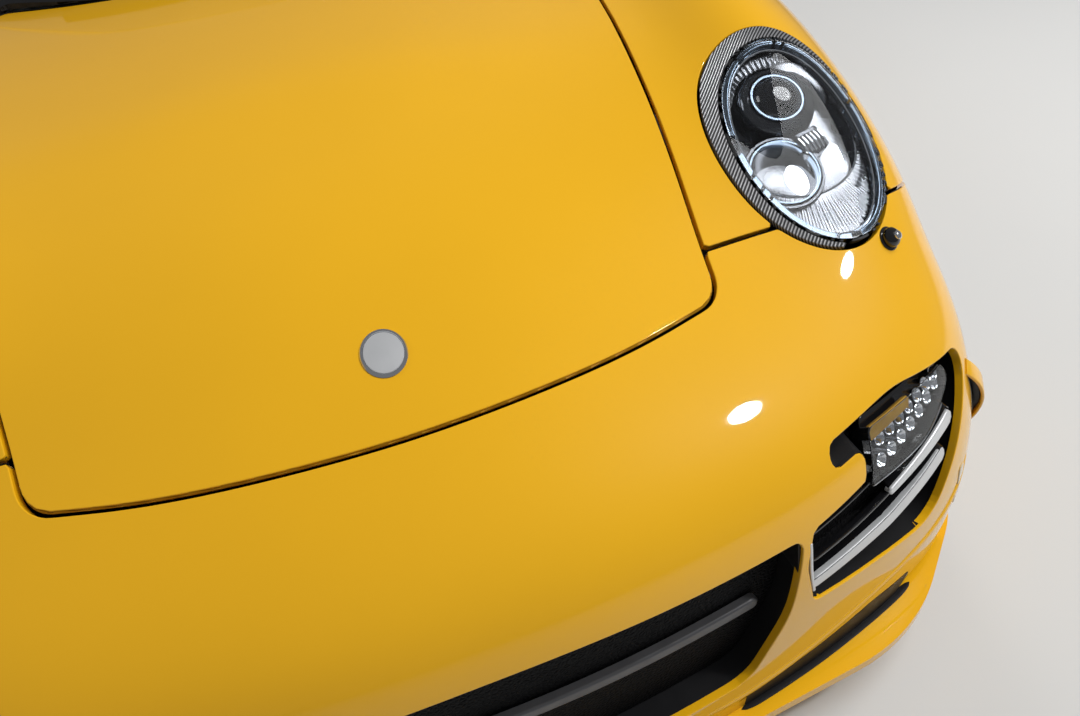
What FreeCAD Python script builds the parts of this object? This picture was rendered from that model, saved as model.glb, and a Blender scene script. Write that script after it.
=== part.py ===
"""A low two-door coupe with its engine behind the rear axle, modelled in millimetres.

The origin is on the ground, midway along the car. +Z is up, the nose points to -Y, and
the car's left side is +X. The outer skin is one surface whose rows fan round each axle,
and every body panel is a piece of that skin, cut along the seams of the real car.
"""
import FreeCAD
import Part
import math
import os

V = FreeCAD.Vector
X_AXIS = V(1, 0, 0)
Y_AXIS = V(0, 1, 0)
Z_AXIS = V(0, 0, 1)

# Overall layout
WHEELBASE = 2350.0
FRONT_AXLE_Y = -1275.0
REAR_AXLE_Y = FRONT_AXLE_Y + WHEELBASE
FRONT_TRACK = 1490.0
REAR_TRACK = 1530.0
FRONT_TYRE_R = 323.5
REAR_TYRE_R = 333.0
FRONT_TYRE_W = 235.0
REAR_TYRE_W = 300.0
RIM_R = 241.0
FRONT_ARCH_R = 364.0
REAR_ARCH_R = 366.0

# Skins and gaps
SKIN = 4.0
SEAM_GAP = 5.0
DOOR_GAP = 7.5
LID_GAP = 6.0
LID_FRAME = 22.0
JAMB_SETBACK = 20.0
GLASS_INSET = 1.0
GLASS_GAP = 6.0
GLASS = 5.0
ROOF_SKIN = 14.0
FAR = 3000.0

# Wheels, hubs and suspension
HUB_X = 798.0
DISC_X = 752.0
DISC_R = 175.0
DISC_THICK = 30.0
STUB_X = 690.0
STUB_R = 28.0
RUNNING_GAP = 0.08
SEAT = 0.3
CALIPER_GAP = 5.0
SPOKE_PAIRS = 5
KINGPIN_X = 718.0
LOWER_BALL_Z = 165.0
UPPER_BALL_Z = 488.0
FRONT_RIM_W = 216.0
REAR_RIM_W = 280.0
REAR_SHIFT = 40.0
RAIL_OUTER_X = 455.0
REAR_RAIL_OUTER_X = 480.0
SPRING_X = 510.0
SPRING_TOP_Z = 690.0
TUB_HALF = 440.0
FRONT_RAIL_TOP_Z = 300.0
LINER_INNER_X = 560.0
RACK_Y = -1172.0
TRACK_ROD_END_X = 630.0
LOWER_ARM_SPREAD = (-100.0, 55.0)
UPPER_ARM_SPREAD = (-60.0, 60.0)
RACK_Z = 217.7
REAR_SPRING_X = 545.0
EXHAUST_Z = 250.0
REAR_SPRING_TOP_Z = 610.0
GEARBOX_HALF = 150.0
LINER_BOTTOM_Z = 200.0
REAR_LINER_X = 610.0
FIREWALL_Y = -800.0
REAR_WALL_Y = 652.0
WALL_THICK = 12.0
FLOOR_TOP_Z = 166.0
ENGINE_FRONT_Y = 1180.0
ENGINE_REAR_Y = 1740.0
EXHAUST_X = 470.0
GRILLE_DEPTH = 48.0
LIP_BOTTOM_Z = 88.0
LIP_THICK = 18.0

# Seams
NOSE_SEAM_DEG = 28.5
DOOR_FRONT_Y = -712.0
DOOR_REAR_Y = 395.0
TAIL_SEAM_DEG = 150.0
SILL_TOP_Z = 300.0
SILL_BOTTOM_Z = 150.0
NOSE_BOTTOM_Z = 128.0
TAIL_BOTTOM_Z = 190.0
SILL_INNER_X = 738.0
LID_HINGE_Y = -652.0
COWL_REACH_Y = -930.0
CABIN_LAP = 16.0
GLASS_FLANGE = 18.0
POST_INNER_X = 742.0
POST_TOP_Z = 868.0

# What the door's upper front corner sweeps when it opens: room in the foot of the pillar
DOOR_SWING_X = 714.0
DOOR_SWING_Y = -616.0
DOOR_SWING_Z = 865.0
JAMB_X = 850.0
TAIL_LAMP_FRONT_Y = 1800.0

# Door hinges: an eye on a bracket of the pillar, and a pin that runs in the door
HINGE_X = 864.0
HINGE_Y = -656.0
HINGE_HEIGHTS = (380.0, 600.0)
HINGE_HALF = 15.0
HINGE_EYE_R = 7.0
HINGE_PIN_R = 4.0
HINGE_LEAF_HALF = 6.0
HINGE_BRACKET_X = 808.0
HINGE_ROOM = 5.0
HINGE_PIN_REACH = 22.0
TAIL_HINGE_Y = 1428.0

# One row of the skin is a half section: distances of nine points, from the centreline
# (c, c2) past the lid's edge (b), the valley (v), the wing's crown (k), the shoulder (t)
# and the waist (w) to the lower side (l) and its end (e).
# Rows of the nose fan round the front axle: angle above the forward level, then the
# distance from the axle of each point.
NOSE_ROWS = [
    # deg,   c,   c2,    b,    v,    k,    t,    w,   l,   e
    (-38, 1150, 1146, 1112, 1068, 1010, 905, 700, 450, 150),
    (-24, 1020, 1016, 984, 945, 893, 800, 628, 415, 150),
    (-13, 955, 952, 922, 888, 850, 782, 622, 404, 150),
    (-4, 940, 937, 908, 874, 834, 766, 602, 396, 150),
    (4, 945, 941, 906, 866, 820, 744, 576, 386, 150),
    (12, 928, 922, 876, 824, 774, 702, 548, 374, 150),
    (20, 815, 808, 742, 706, 690, 640, 508, 362, 150),
    (28, 712, 706, 640, 628, 652, 614, 486, 350, 150),
    (38, 625, 620, 586, 588, 622, 582, 456, 342, 150),
    (50, 553, 549, 532, 556, 600, 552, 428, 326, 150),
    (64, 503, 501, 490, 520, 570, 518, 406, 319, 150),
    (78, 494, 492, 476, 498, 546, 502, 402, 324, 150),
    (90, 498, 496, 476, 492, 534, 497, 409, 332, 150),
]
# Half widths of the nine points at the nose's front, behind its lamps and over the axle.
NOSE_X_FRONT = [0, 170, 400, 540, 675, 800, 872, 884, 884]
NOSE_X_LAMPS = [0, 182, 470, 570, 662, 768, 854, 884, 884]
NOSE_X_AXLE = [0, 190, 520, 598, 682, 785, 868, 892, 884]
NOSE_LAMPS_DEG = 52.0

# Rows of the middle lie in upright planes: height of each point, then half widths.
SIDE_ROWS = [
    # y,     zc,  zb,  zv,  zk,  zt,  zw,  zl,  ze,  xb,  xv,  xk,  xt,  xw,  xl,  xe
    (-1110, 836, 820, 830, 862, 836, 700, 500, 330, 535, 612, 700, 808, 884, 892, 880),
    (-930, 852, 836, 842, 866, 832, 676, 430, 210, 552, 630, 712, 816, 886, 890, 868),
    (-740, 862, 850, 854, 868, 826, 662, 405, 160, 568, 648, 730, 822, 886, 884, 856),
    (-450, 862, 854, 858, 870, 822, 655, 395, 150, 570, 655, 742, 826, 885, 880, 850),
    (-120, 862, 858, 862, 874, 824, 652, 392, 150, 570, 655, 744, 827, 885, 878, 848),
    (200, 866, 864, 868, 880, 830, 658, 395, 150, 568, 652, 740, 830, 890, 882, 850),
    (470, 872, 872, 878, 892, 850, 680, 410, 152, 560, 640, 730, 842, 906, 900, 862),
    (690, 880, 884, 892, 910, 876, 715, 440, 170, 545, 622, 716, 858, 928, 926, 888),
    (890, 890, 896, 905, 922, 892, 745, 490, 260, 525, 605, 712, 866, 938, 938, 912),
]

# Rows of the tail fan round the rear axle, from straight up to below the rearward level.
TAIL_ROWS = [
    # deg,   c,   c2,    b,    v,    k,    t,    w,   l,   e
    (90, 566, 566, 566, 572, 594, 566, 444, 335, 150),
    (104, 602, 601, 598, 598, 606, 570, 452, 338, 150),
    (118, 682, 680, 668, 652, 636, 590, 468, 345, 150),
    (130, 772, 768, 746, 718, 688, 626, 492, 352, 150),
    (142, 872, 867, 842, 806, 758, 680, 524, 362, 150),
    (151, 985, 980, 950, 908, 846, 746, 560, 372, 150),
    (160, 1062, 1056, 1026, 980, 908, 792, 592, 386, 150),
    (170, 1140, 1134, 1102, 1052, 972, 845, 625, 400, 150),
    (180, 1162, 1156, 1122, 1072, 990, 862, 640, 408, 150),
    (190, 1160, 1154, 1120, 1070, 990, 862, 640, 408, 150),
    (201, 1195, 1190, 1150, 1098, 1015, 882, 655, 415, 150),
    (214, 1300, 1294, 1250, 1190, 1090, 945, 700, 440, 150),
]
TAIL_X_AXLE = [0, 190, 500, 592, 718, 868, 940, 940, 925]
TAIL_X_REAR = [0, 190, 440, 575, 705, 818, 900, 926, 920]

# Rows of the cabin: where each meets the centreline, the roof rail and the belt.
CABIN_ROWS = [
    # yc,   zc,  y_rail, x_rail, z_rail, y_belt, x_belt, z_belt
    (-905, 780, -800, 560, 770, -655, 740, 770),
    (-850, 820, -745, 568, 808, -600, 742, 800),
    (-770, 872, -655, 575, 858, -530, 742, 836),
    (-600, 966, -480, 590, 944, -400, 744, 850),
    (-400, 1074, -295, 588, 1046, -250, 746, 852),
    (-215, 1176, -140, 575, 1138, -110, 748, 854),
    (-60, 1250, -10, 560, 1200, 0, 748, 858),
    (90, 1298, 110, 554, 1238, 110, 747, 860),
    (330, 1304, 330, 548, 1242, 330, 742, 866),
    (580, 1258, 580, 536, 1196, 560, 732, 880),
    (820, 1176, 820, 520, 1122, 790, 712, 892),
    (1040, 1088, 1040, 504, 1044, 1010, 678, 896),
    (1240, 1006, 1240, 488, 970, 1200, 630, 890),
    (1420, 930, 1420, 470, 900, 1370, 575, 868),
    (1560, 860, 1560, 455, 830, 1500, 530, 820),
]


def mix(a, b, share):
    return a + (b - a) * share


def fan_row(axle_y, axle_z, degrees, distances, widths):
    """One half section in the plane that holds the axle and rises at an angle."""
    angle = math.radians(degrees)
    return [V(x, axle_y - d * math.cos(angle), axle_z + d * math.sin(angle))
            for d, x in zip(distances, widths)]


def skin_rows():
    """Half rows of the body skin's control net, from under the nose to under the tail."""
    rows = []
    for deg, *distances in NOSE_ROWS:
        if deg < NOSE_LAMPS_DEG:
            share = max(0.0, deg / NOSE_LAMPS_DEG)
            widths = [mix(a, b, share) for a, b in zip(NOSE_X_FRONT, NOSE_X_LAMPS)]
        else:
            share = (deg - NOSE_LAMPS_DEG) / (90.0 - NOSE_LAMPS_DEG)
            widths = [mix(a, b, share) for a, b in zip(NOSE_X_LAMPS, NOSE_X_AXLE)]
        rows.append(fan_row(FRONT_AXLE_Y, FRONT_TYRE_R, deg, distances, widths))
    for y, zc, zb, zv, zk, zt, zw, zl, ze, xb, xv, xk, xt, xw, xl, xe in SIDE_ROWS:
        rows.append([V(0, y, zc), V(190, y, zc), V(xb, y, zb), V(xv, y, zv), V(xk, y, zk),
                     V(xt, y, zt), V(xw, y, zw), V(xl, y, zl), V(xe, y, ze)])
    for deg, *distances in TAIL_ROWS:
        share = min(1.0, (deg - 90.0) / 90.0)
        widths = [mix(a, b, share) for a, b in zip(TAIL_X_AXLE, TAIL_X_REAR)]
        rows.append(fan_row(REAR_AXLE_Y, REAR_TYRE_R, deg, distances, widths))
    return rows


def cabin_rows():
    """Half rows of the cabin's control net: roof, rail, side glass and belt."""
    rows = []
    for yc, zc, yr, xr, zr, yb, xb, zb in CABIN_ROWS:
        drop = zc - zr
        side_z = mix(zr, zb, 0.42)
        rows.append([
            V(0, yc, zc),
            V(xr * 0.42, mix(yc, yr, 0.16), zc - drop * 0.06),
            V(xr * 0.78, mix(yc, yr, 0.58), zc - drop * 0.36),
            V(xr * 1.02, yr, zr + drop * 0.06),
            V(mix(xr, xb, 0.36), mix(yr, yb, 0.3), mix(zr, zb, 0.16)),
            V(mix(xr, xb, 0.72), mix(yr, yb, 0.62), mix(side_z, zb, 0.1)),
            V(xb, yb, mix(zb, zr, 0.12)),
            V(xb + 14, yb, zb - 40),
        ])
    return rows


def full_rows(half_rows):
    """Each half row with its mirror image, from the right side over to the left."""
    return [[V(-p.x, p.y, p.z) for p in reversed(row[1:])] + row for row in half_rows]


def net_normals(net):
    """Unit normals of a control net, pointing out of the car."""
    normals = []
    last_row, last_col = len(net) - 1, len(net[0]) - 1
    for i, row in enumerate(net):
        line = []
        for j in range(len(row)):
            along = net[min(i + 1, last_row)][j] - net[max(i - 1, 0)][j]
            across = net[i][min(j + 1, last_col)] - net[i][max(j - 1, 0)]
            normal = across.cross(along)
            normal.normalize()
            line.append(normal)
        normals.append(line)
    return normals


def offset_net(net, outward):
    """The net moved out of the car, or into it where the distance is negative."""
    return [[p + n * outward for p, n in zip(row, line)]
            for row, line in zip(net, net_normals(net))]


def uniform_knots(count):
    """Clamped uniform knots of a cubic with that many poles, and their multiplicities."""
    spans = count - 3
    return [float(k) for k in range(spans + 1)], [4] + [1] * (spans - 1) + [4]


def spline_surface(net):
    surface = Part.BSplineSurface()
    u_knots, u_mults = uniform_knots(len(net))
    v_knots, v_mults = uniform_knots(len(net[0]))
    surface.buildFromPolesMultsKnots(net, u_mults, v_mults, u_knots, v_knots,
                                     False, False, 3, 3)
    return surface


def solid_between(outer_net, inner_net, patch):
    """A closed solid between two nets, over a patch (u0, u1, v0, v1) of their knots."""
    u0, u1, v0, v1 = patch
    faces = []
    for net in (outer_net, inner_net):
        surface = spline_surface(net)
        surface.segment(u0, u1, v0, v1)
        faces.append(surface)
    outer, inner = faces
    shell = [outer.toShape(), inner.toShape()]
    for edge in (("u", u0), ("u", u1), ("v", v0), ("v", v1)):
        pair = [s.uIso(edge[1]) if edge[0] == "u" else s.vIso(edge[1]) for s in faces]
        shell.append(Part.makeRuledSurface(pair[0].toShape(), pair[1].toShape()))
    solid = Part.makeSolid(Part.makeShell(shell))
    solid = sewn(solid.Faces)
    return solid


def sewn(faces):
    """Faces joined along their edges into one solid that faces outwards."""
    shell = Part.makeShell(faces)
    shell.sewShape()
    solid = Part.makeSolid(shell)
    if solid.Volume < 0:
        solid.reverse()
    return solid


def place_on(plane, a, b, depth=0.0):
    """A point from two drawing coordinates: plane 'xy', 'yz' or 'xz', and its depth."""
    if plane == "xy":
        return V(a, b, depth)
    if plane == "yz":
        return V(depth, a, b)
    return V(a, depth, b)


def rounded_outline(plane, corners, depth=0.0):
    """A closed wire of straight runs with rounded corners. Each corner is (a, b, radius)."""
    count = len(corners)
    starts, ends, mids = [], [], []
    for i, (a, b, radius) in enumerate(corners):
        here = place_on(plane, a, b, depth)
        before = place_on(plane, *corners[i - 1][:2], depth) - here
        after = place_on(plane, *corners[(i + 1) % count][:2], depth) - here
        half = before.getAngle(after) / 2
        if radius <= 0 or abs(half - math.pi / 2) < 1e-4:
            starts.append(here)
            ends.append(here)
            mids.append(None)
            continue
        back = radius / math.tan(half)
        before.normalize()
        after.normalize()
        middle = before + after
        middle.normalize()
        starts.append(here + before * back)
        ends.append(here + after * back)
        mids.append(here + middle * (radius / math.sin(half) - radius))
    edges = []
    for i in range(count):
        if mids[i] is not None:
            edges.append(Part.Arc(starts[i], mids[i], ends[i]).toShape())
        following = (i + 1) % count
        if (starts[following] - ends[i]).Length > 1e-6:
            edges.append(Part.LineSegment(ends[i], starts[following]).toShape())
    return Part.Wire(edges)


def prism(plane, corners, low, high):
    """The outline pulled along the plane's normal from depth low to depth high."""
    wire = rounded_outline(plane, corners, low)
    pull = place_on(plane, 0, 0, high - low)
    return Part.Face(wire).extrude(pull)


def box(x0, x1, y0, y1, z0, z1):
    return Part.makeBox(x1 - x0, y1 - y0, z1 - z0, V(x0, y0, z0))


def mirrored(shape):
    return shape.mirror(V(0, 0, 0), X_AXIS)


def both_sides(shape):
    return Part.makeCompound([shape, mirrored(shape)])


def wedge(axle_y, axle_z, from_deg, to_deg, x0, x1, reach=1700.0):
    """A slice round an axle between two angles above the forward level."""
    corners = [(axle_y, axle_z, 0)]
    steps = max(1, round(abs(to_deg - from_deg) / 60.0))
    for i in range(steps + 1):
        angle = math.radians(mix(from_deg, to_deg, i / steps))
        corners.append((axle_y - reach * math.cos(angle),
                        axle_z + reach * math.sin(angle), 0))
    return prism("yz", corners, x0, x1)


def main_solid(shape):
    """The largest solid of a result, without slivers."""
    return max(shape.Solids, key=lambda s: s.Volume)


BODY_NET = full_rows(skin_rows())
CABIN_NET = full_rows(cabin_rows())
BODY_COLUMNS = len(BODY_NET[0])
CABIN_COLUMNS = len(CABIN_NET[0])
BODY_V_MID = (BODY_COLUMNS - 3) / 2.0
BODY_V_END = float(BODY_COLUMNS - 3)
CABIN_V_END = float(CABIN_COLUMNS - 3)
BODY_U_END = float(len(BODY_NET) - 3)
CABIN_U_END = float(len(CABIN_NET) - 3)


def layer(net, outward, inward, patch):
    """A solid between the net moved out and the net moved in, over a patch of it."""
    return solid_between(offset_net(net, outward), offset_net(net, -inward), patch)


def symmetric(half):
    """Corners from the centreline round the left side, completed on the right."""
    return half + [(-a, b, r) for a, b, r in reversed(half) if a > 0]


def grown(corners, distance):
    """The same outline moved outwards by a distance, its corner radii with it."""
    count = len(corners)
    area = sum(corners[i - 1][0] * corners[i][1] - corners[i][0] * corners[i - 1][1]
               for i in range(count))
    sense = 1.0 if area > 0 else -1.0
    moved = []
    for i, (a, b, radius) in enumerate(corners):
        before, after = corners[i - 1], corners[(i + 1) % count]
        length_in = math.hypot(a - before[0], b - before[1])
        length_out = math.hypot(after[0] - a, after[1] - b)
        in_a, in_b = (a - before[0]) / length_in, (b - before[1]) / length_in
        out_a, out_b = (after[0] - a) / length_out, (after[1] - b) / length_out
        share = sense * distance / (1 + in_a * out_a + in_b * out_b)
        convex = sense * (in_a * out_b - in_b * out_a) > 0
        new_radius = radius + distance if convex else radius - distance
        moved.append((a + share * (in_b + out_b), b - share * (in_a + out_a),
                      max(new_radius, 0.0) if radius > 0 else 0.0))
    return moved


def cut_all(shape, tools):
    """The shape less each tool in turn, as one solid."""
    for tool in tools:
        shape = shape.cut(tool)
    return main_solid(shape)


def joined(shapes):
    result = shapes[0].multiFuse(shapes[1:])
    return main_solid(result)


def cylinder(centre, axis, radius, length):
    """A cylinder from a centre along an axis."""
    return Part.makeCylinder(radius, length, centre, axis)


def tube(points, radius):
    """Straight round bars through the points, with a ball at each bend."""
    bars = []
    for start, end in zip(points[:-1], points[1:]):
        bars.append(Part.makeCylinder(radius, (end - start).Length, start, end - start))
    for bend in points[1:-1]:
        bars.append(Part.makeSphere(radius, bend))
    return joined(bars) if len(bars) > 1 else bars[0]


# Outlines seen from above, given from the centreline round the left side: x, y, radius
LID_HALF = [(0, -930, 1042), (552, -654, 20), (552, -1098, 2500), (422, -1908, 55),
            (0, -2056, 1055)]
TAIL_LID_HALF = [(0, 1428, 0), (470, 1428, 30), (520, 1640, 300), (470, 1935, 60),
                 (0, 2010, 1400)]
WINDSCREEN_HALF = [(0, -775, 900), (625, -622, 60), (490, -196, 60), (0, -150, 1800)]
REAR_GLASS_HALF = [(0, 655, 1800), (430, 640, 60), (470, 1290, 60), (0, 1340, 1800)]

# Outlines seen from ahead: x, z, radius
INTAKE_HALF = [(0, 442, 2400), (404, 416, 16), (384, 290, 200), (330, 178, 50), (0, 168, 0)]
DUCT = [(424, 288, 16), (408, 368, 60), (420, 418, 12), (514, 428, 8), (522, 464, 14),
        (466, 464, 12), (466, 489, 12), (600, 488, 300), (770, 455, 30), (722, 376, 200),
        (656, 260, 56)]
TAIL_LAMP = [(532, 742, 20), (532, 800, 16), (1000, 812, 0), (1000, 716, 0)]
DUCT_BACK = [(410, 272, 30), (394, 368, 70), (402, 504, 30), (602, 504, 300), (788, 468, 44),
             (737, 372, 200), (667, 244, 66)]
TAIL_VENT = [(560, 470, 16), (700, 480, 16), (690, 330, 16), (580, 320, 16)]
BLADE_LOWER = [(424, 306, 5), (560, 318, 200), (684, 349, 9), (680, 371, 9), (560, 340, 200),
               (420, 324, 5)]
BLADE_UPPER = [(560, 371, 4), (706, 388, 8), (706, 408, 8), (560, 381, 4)]
BLADE_MIDDLE_HALF = [(0, 300, 0), (352, 300, 8), (352, 318, 8), (0, 318, 0)]
SIGNAL_LAMP = [(528, 402, 8), (540, 468, 8), (704, 458, 16), (720, 438, 12), (650, 403, 60)]

# The lip seen from above, and the space inside it: x, y, radius
LIP_HALF = [(0, -2237, 2600), (610, -2183, 330), (838, -1990, 240), (878, -1500, 0), (0, -1500, 0)]
LIP_INNER_HALF = [(0, -2068, 0), (520, -2048, 100), (700, -1900, 100), (760, -1400, 0),
                  (0, -1400, 0)]

# Outlines seen from the side: y, z, radius
DOOR = [(DOOR_FRONT_Y, SILL_TOP_Z, 45), (DOOR_REAR_Y - 70, SILL_TOP_Z, 110),
        (DOOR_REAR_Y, 560, 160), (DOOR_REAR_Y, 1400, 0), (DOOR_FRONT_Y, 1400, 0)]
DOOR_WINDOW = [(-596, 866, 20), (-36, 1196, 150), (332, 1188, 40), (306, 866, 12)]
QUARTER_WINDOW = [(352, 884, 30), (366, 1176, 40), (690, 1082, 190), (880, 930, 60)]

# What lies under the foot of the cabin, seen from the side
BELOW_CABIN = [(-1300, 500, 0), (-1300, 856, 0), (-600, 858, 0), (300, 862, 0), (600, 874, 0),
               (900, 890, 0), (1150, 905, 0), (1300, 915, 0), (1424, 905, 0), (1424, 1300, 0),
               (1900, 1300, 0), (1900, 500, 0)]

# Inside of the door seen from ahead: x, z, radius
DOOR_REGION = [(730, 1400, 0), (1100, 1400, 0), (1100, 200, 0), (823, 200, 0),
               (823, 620, 60), (790, 770, 60), (730, 850, 0)]

# Headlamp: an ellipse about an axis that leans forward
LAMP_CENTRE = V(638, -1723, 694)
LAMP_AXIS = V(-0.031, -0.539, 0.842)
LAMP_LONG = 187.0
LAMP_WIDE = 119.0
LAMP_GAP = 3.0
LENS_LONG = 167.0
LENS_WIDE = 104.0
LENS_BELOW = 12.0
LENS_OUTSIDE = 9.0
PROJECTOR_SHIFT = V(18, 66, 42)
PROJECTOR_R = 44.0
REFLECTOR_SHIFT = V(-10, -50, -31)
REFLECTOR_R = 50.0
LAMP_DEPTH = 118.0

# Rear wing sections: x, y of the nose, z, chord, thickness, lift of the tail
WING_SECTIONS = [
    (-650, 1880, 912, 150, 16, 10),
    (-520, 1840, 934, 205, 22, 16),
    (0, 1812, 948, 235, 26, 20),
    (520, 1840, 934, 205, 22, 16),
    (650, 1880, 912, 150, 16, 10),
]
WING_FOOT_X = 400.0
MIRROR_CENTRE = V(905, -560, 905)
# Rings of the mirror's shell: how far ahead of the centre, half width, half height
MIRROR_RINGS = [(-22, 104, 70), (0, 103, 69), (24, 94, 63), (44, 74, 49), (58, 42, 28), (62, 16, 11)]
STEERING_WHEEL_CENTRE = V(370, -385, 725)
STEERING_AXIS = V(0, 0.93, 0.36).normalize()

# Foot of the cabin on the body, seen from above
CABIN_FOOT_HALF = [(0, -800, 900), (735, -600, 120), (742, 560, 600), (640, 1190, 300),
                   (450, 1408, 60), (0, 1408, 0)]

FRONT_LAMP_PATCH = (3.0, 10.0, BODY_V_MID + 1.5, BODY_V_END)
FRONT_PATCH = (0.0, 7.5, 0.0, BODY_V_END)
LID_PATCH = (3.0, 16.0, 1.5, BODY_V_END - 1.5)
WING_PATCH = (4.0, 15.5, BODY_V_MID + 1.2, BODY_V_END)
QUARTER_PATCH = (12.0, 28.5, BODY_V_MID - 0.5, BODY_V_END)
TAIL_PATCH = (21.0, BODY_U_END, 0.0, BODY_V_END)
TAIL_LID_PATCH = (20.0, 28.0, 2.5, BODY_V_END - 2.5)
SHELL_PATCH = (12.0, 28.5, 0.0, BODY_V_END)
LEFT_PATCH = (3.0, 28.5, BODY_V_MID + 0.5, BODY_V_END)
COWL_PATCH = (9.0, 17.0, 0.0, BODY_V_END)
SIDE_CORE_ROWS = (10, 25)


def lamp_cylinder(long, wide, low, high, below=0.0, outside=0.0):
    """An elliptical cylinder on the left lamp's axis, or set a little below and outside it."""
    axis = V(LAMP_AXIS)
    axis.normalize()
    down = V(0, -1, 0) - axis * axis.dot(V(0, -1, 0))
    down.normalize()
    across = axis.cross(down)
    centre = LAMP_CENTRE + axis * low + down * below + across * outside
    ellipse = Part.Ellipse(centre + down * long, centre + across * wide, centre)
    return Part.Face(Part.Wire(ellipse.toShape())).extrude(axis * (high - low))


def lens_cylinder(grow, low, high):
    """The lens lies towards the lower outer side of its ring."""
    return lamp_cylinder(LENS_LONG + grow, LENS_WIDE + grow, low, high, LENS_BELOW, LENS_OUTSIDE)


def arch_cut(axle_y, axle_z, radius, x_inner=500.0):
    return cylinder(V(x_inner, axle_y, axle_z), X_AXIS, radius, 600.0)


def front_panel_tools():
    """What every panel of the nose leaves out, apart from the wheel arches."""
    lid_hole = prism("xy", grown(symmetric(LID_HALF), LID_GAP), 300, 1500)
    lamp_hole = lamp_cylinder(LAMP_LONG + LAMP_GAP, LAMP_WIDE + LAMP_GAP, -160, 160)
    return lid_hole, lamp_hole


def front_bumper():
    skin = layer(BODY_NET, 0, SKIN, FRONT_PATCH)
    lid_hole, lamp_hole = front_panel_tools()
    half_gap = math.degrees(SEAM_GAP / 2 / 640.0)
    keep = wedge(FRONT_AXLE_Y, FRONT_TYRE_R, -60, NOSE_SEAM_DEG - half_gap, -FAR, FAR)
    skin = main_solid(skin.common(keep))
    floor_cut = box(-FAR, FAR, -FAR, 0, -FAR, NOSE_BOTTOM_Z)
    intake = prism("xz", symmetric(INTAKE_HALF), -FAR, FRONT_AXLE_Y - 500)
    duct = prism("xz", DUCT, -FAR, FRONT_AXLE_Y - 380)
    tools = [floor_cut, intake, lid_hole]
    for left in (arch_cut(FRONT_AXLE_Y, FRONT_TYRE_R, FRONT_ARCH_R), duct, lamp_hole):
        tools += [left, mirrored(left)]
    return cut_all(skin, tools)


def front_wing():
    skin = layer(BODY_NET, 0, SKIN, WING_PATCH)
    lid_hole, lamp_hole = front_panel_tools()
    angle = math.radians(NOSE_SEAM_DEG + math.degrees(SEAM_GAP / 2 / 640.0))
    reach = 1700.0
    region = [(FRONT_AXLE_Y, FRONT_TYRE_R, 0),
              (FRONT_AXLE_Y - reach * math.cos(angle), FRONT_TYRE_R + reach * math.sin(angle), 0),
              (FRONT_AXLE_Y, FAR, 0), (DOOR_FRONT_Y - DOOR_GAP, FAR, 0),
              (DOOR_FRONT_Y - DOOR_GAP, SILL_BOTTOM_Z, 0), (FRONT_AXLE_Y, SILL_BOTTOM_Z, 0)]
    skin = main_solid(skin.common(prism("yz", region, -FAR, FAR)))
    return cut_all(skin, [arch_cut(FRONT_AXLE_Y, FRONT_TYRE_R, FRONT_ARCH_R), lid_hole, lamp_hole])


def bonnet_lid():
    """The luggage lid: a skin and, under it, a frame that starts well ahead of the hinge."""
    skin = layer(BODY_NET, 0, SKIN, LID_PATCH)
    skin = main_solid(skin.common(prism("xy", symmetric(LID_HALF), 300, 1500)))
    frame = layer(BODY_NET, -SKIN + 1, LID_FRAME, LID_PATCH)
    frame = frame.common(prism("xy", grown(symmetric(LID_HALF), -22), 300, 1500))
    frame = frame.cut(prism("xy", grown(symmetric(LID_HALF), -92), 300, 1500))
    frame = frame.cut(box(-FAR, FAR, LID_HINGE_Y - 60, FAR, 0, FAR))
    return joined([skin] + frame.Solids)


def tail_lamp_room(grow):
    """What a tail lamp fills, grown all round by a gap or a flange's width."""
    room = prism("xz", grown(TAIL_LAMP, grow), REAR_AXLE_Y + 300, FAR)
    return main_solid(room.cut(box(-FAR, FAR, 0, TAIL_LAMP_FRONT_Y - grow, 0, FAR)))


def tail_lid():
    """The engine lid: a skin with its frame, carrying the wing's two feet."""
    skin = layer(BODY_NET, 0, SKIN, TAIL_LID_PATCH)
    skin = main_solid(skin.common(prism("xy", symmetric(TAIL_LID_HALF), 600, 1500)))
    frame = layer(BODY_NET, -SKIN + 1, LID_FRAME, TAIL_LID_PATCH)
    frame = frame.common(prism("xy", grown(symmetric(TAIL_LID_HALF), -22), 600, 1500))
    frame = frame.cut(prism("xy", grown(symmetric(TAIL_LID_HALF), -92), 600, 1500))
    frame = frame.cut(box(-FAR, FAR, 0, TAIL_HINGE_Y + 45, 0, FAR))
    return joined([skin] + frame.Solids)


def side_core(outward):
    """A thick wall from the skin in towards the sill's line, along the doors and hips."""
    outer = offset_net(BODY_NET, outward)[SIDE_CORE_ROWS[0]:SIDE_CORE_ROWS[1]]
    inner = [[V(p.x * 0.7, p.y, mix(SILL_BOTTOM_Z, p.z, 0.8)) for p in row] for row in outer]
    first, last = 2.0, float(len(outer) - 5)
    return solid_between(outer, inner, (first, last, BODY_V_MID + 2.5, BODY_V_END))


def door():
    """The left door: as thick as the real one, its inner face leaning in to the belt."""
    shape = side_core(0).common(prism("yz", DOOR, 0, 1200))
    shape = main_solid(shape.common(prism("xz", DOOR_REGION, -FAR, FAR)))
    tools = []
    for height in HINGE_HEIGHTS:
        low, high = height - HINGE_HALF - HINGE_ROOM, height + HINGE_HALF + HINGE_ROOM
        foot = V(HINGE_X, HINGE_Y, low)
        tools.append(box(0, HINGE_X + 4, -FAR, HINGE_Y + HINGE_LEAF_HALF + HINGE_ROOM + 3,
                         low, high))
        tools.append(cylinder(foot, Z_AXIS, HINGE_EYE_R + 3, high - low))
        tools.append(cylinder(foot - V(0, 0, HINGE_PIN_REACH + 2), Z_AXIS,
                              HINGE_PIN_R + RUNNING_GAP, high - low + 2 * HINGE_PIN_REACH + 4))
    return cut_all(shape, tools)


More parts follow.
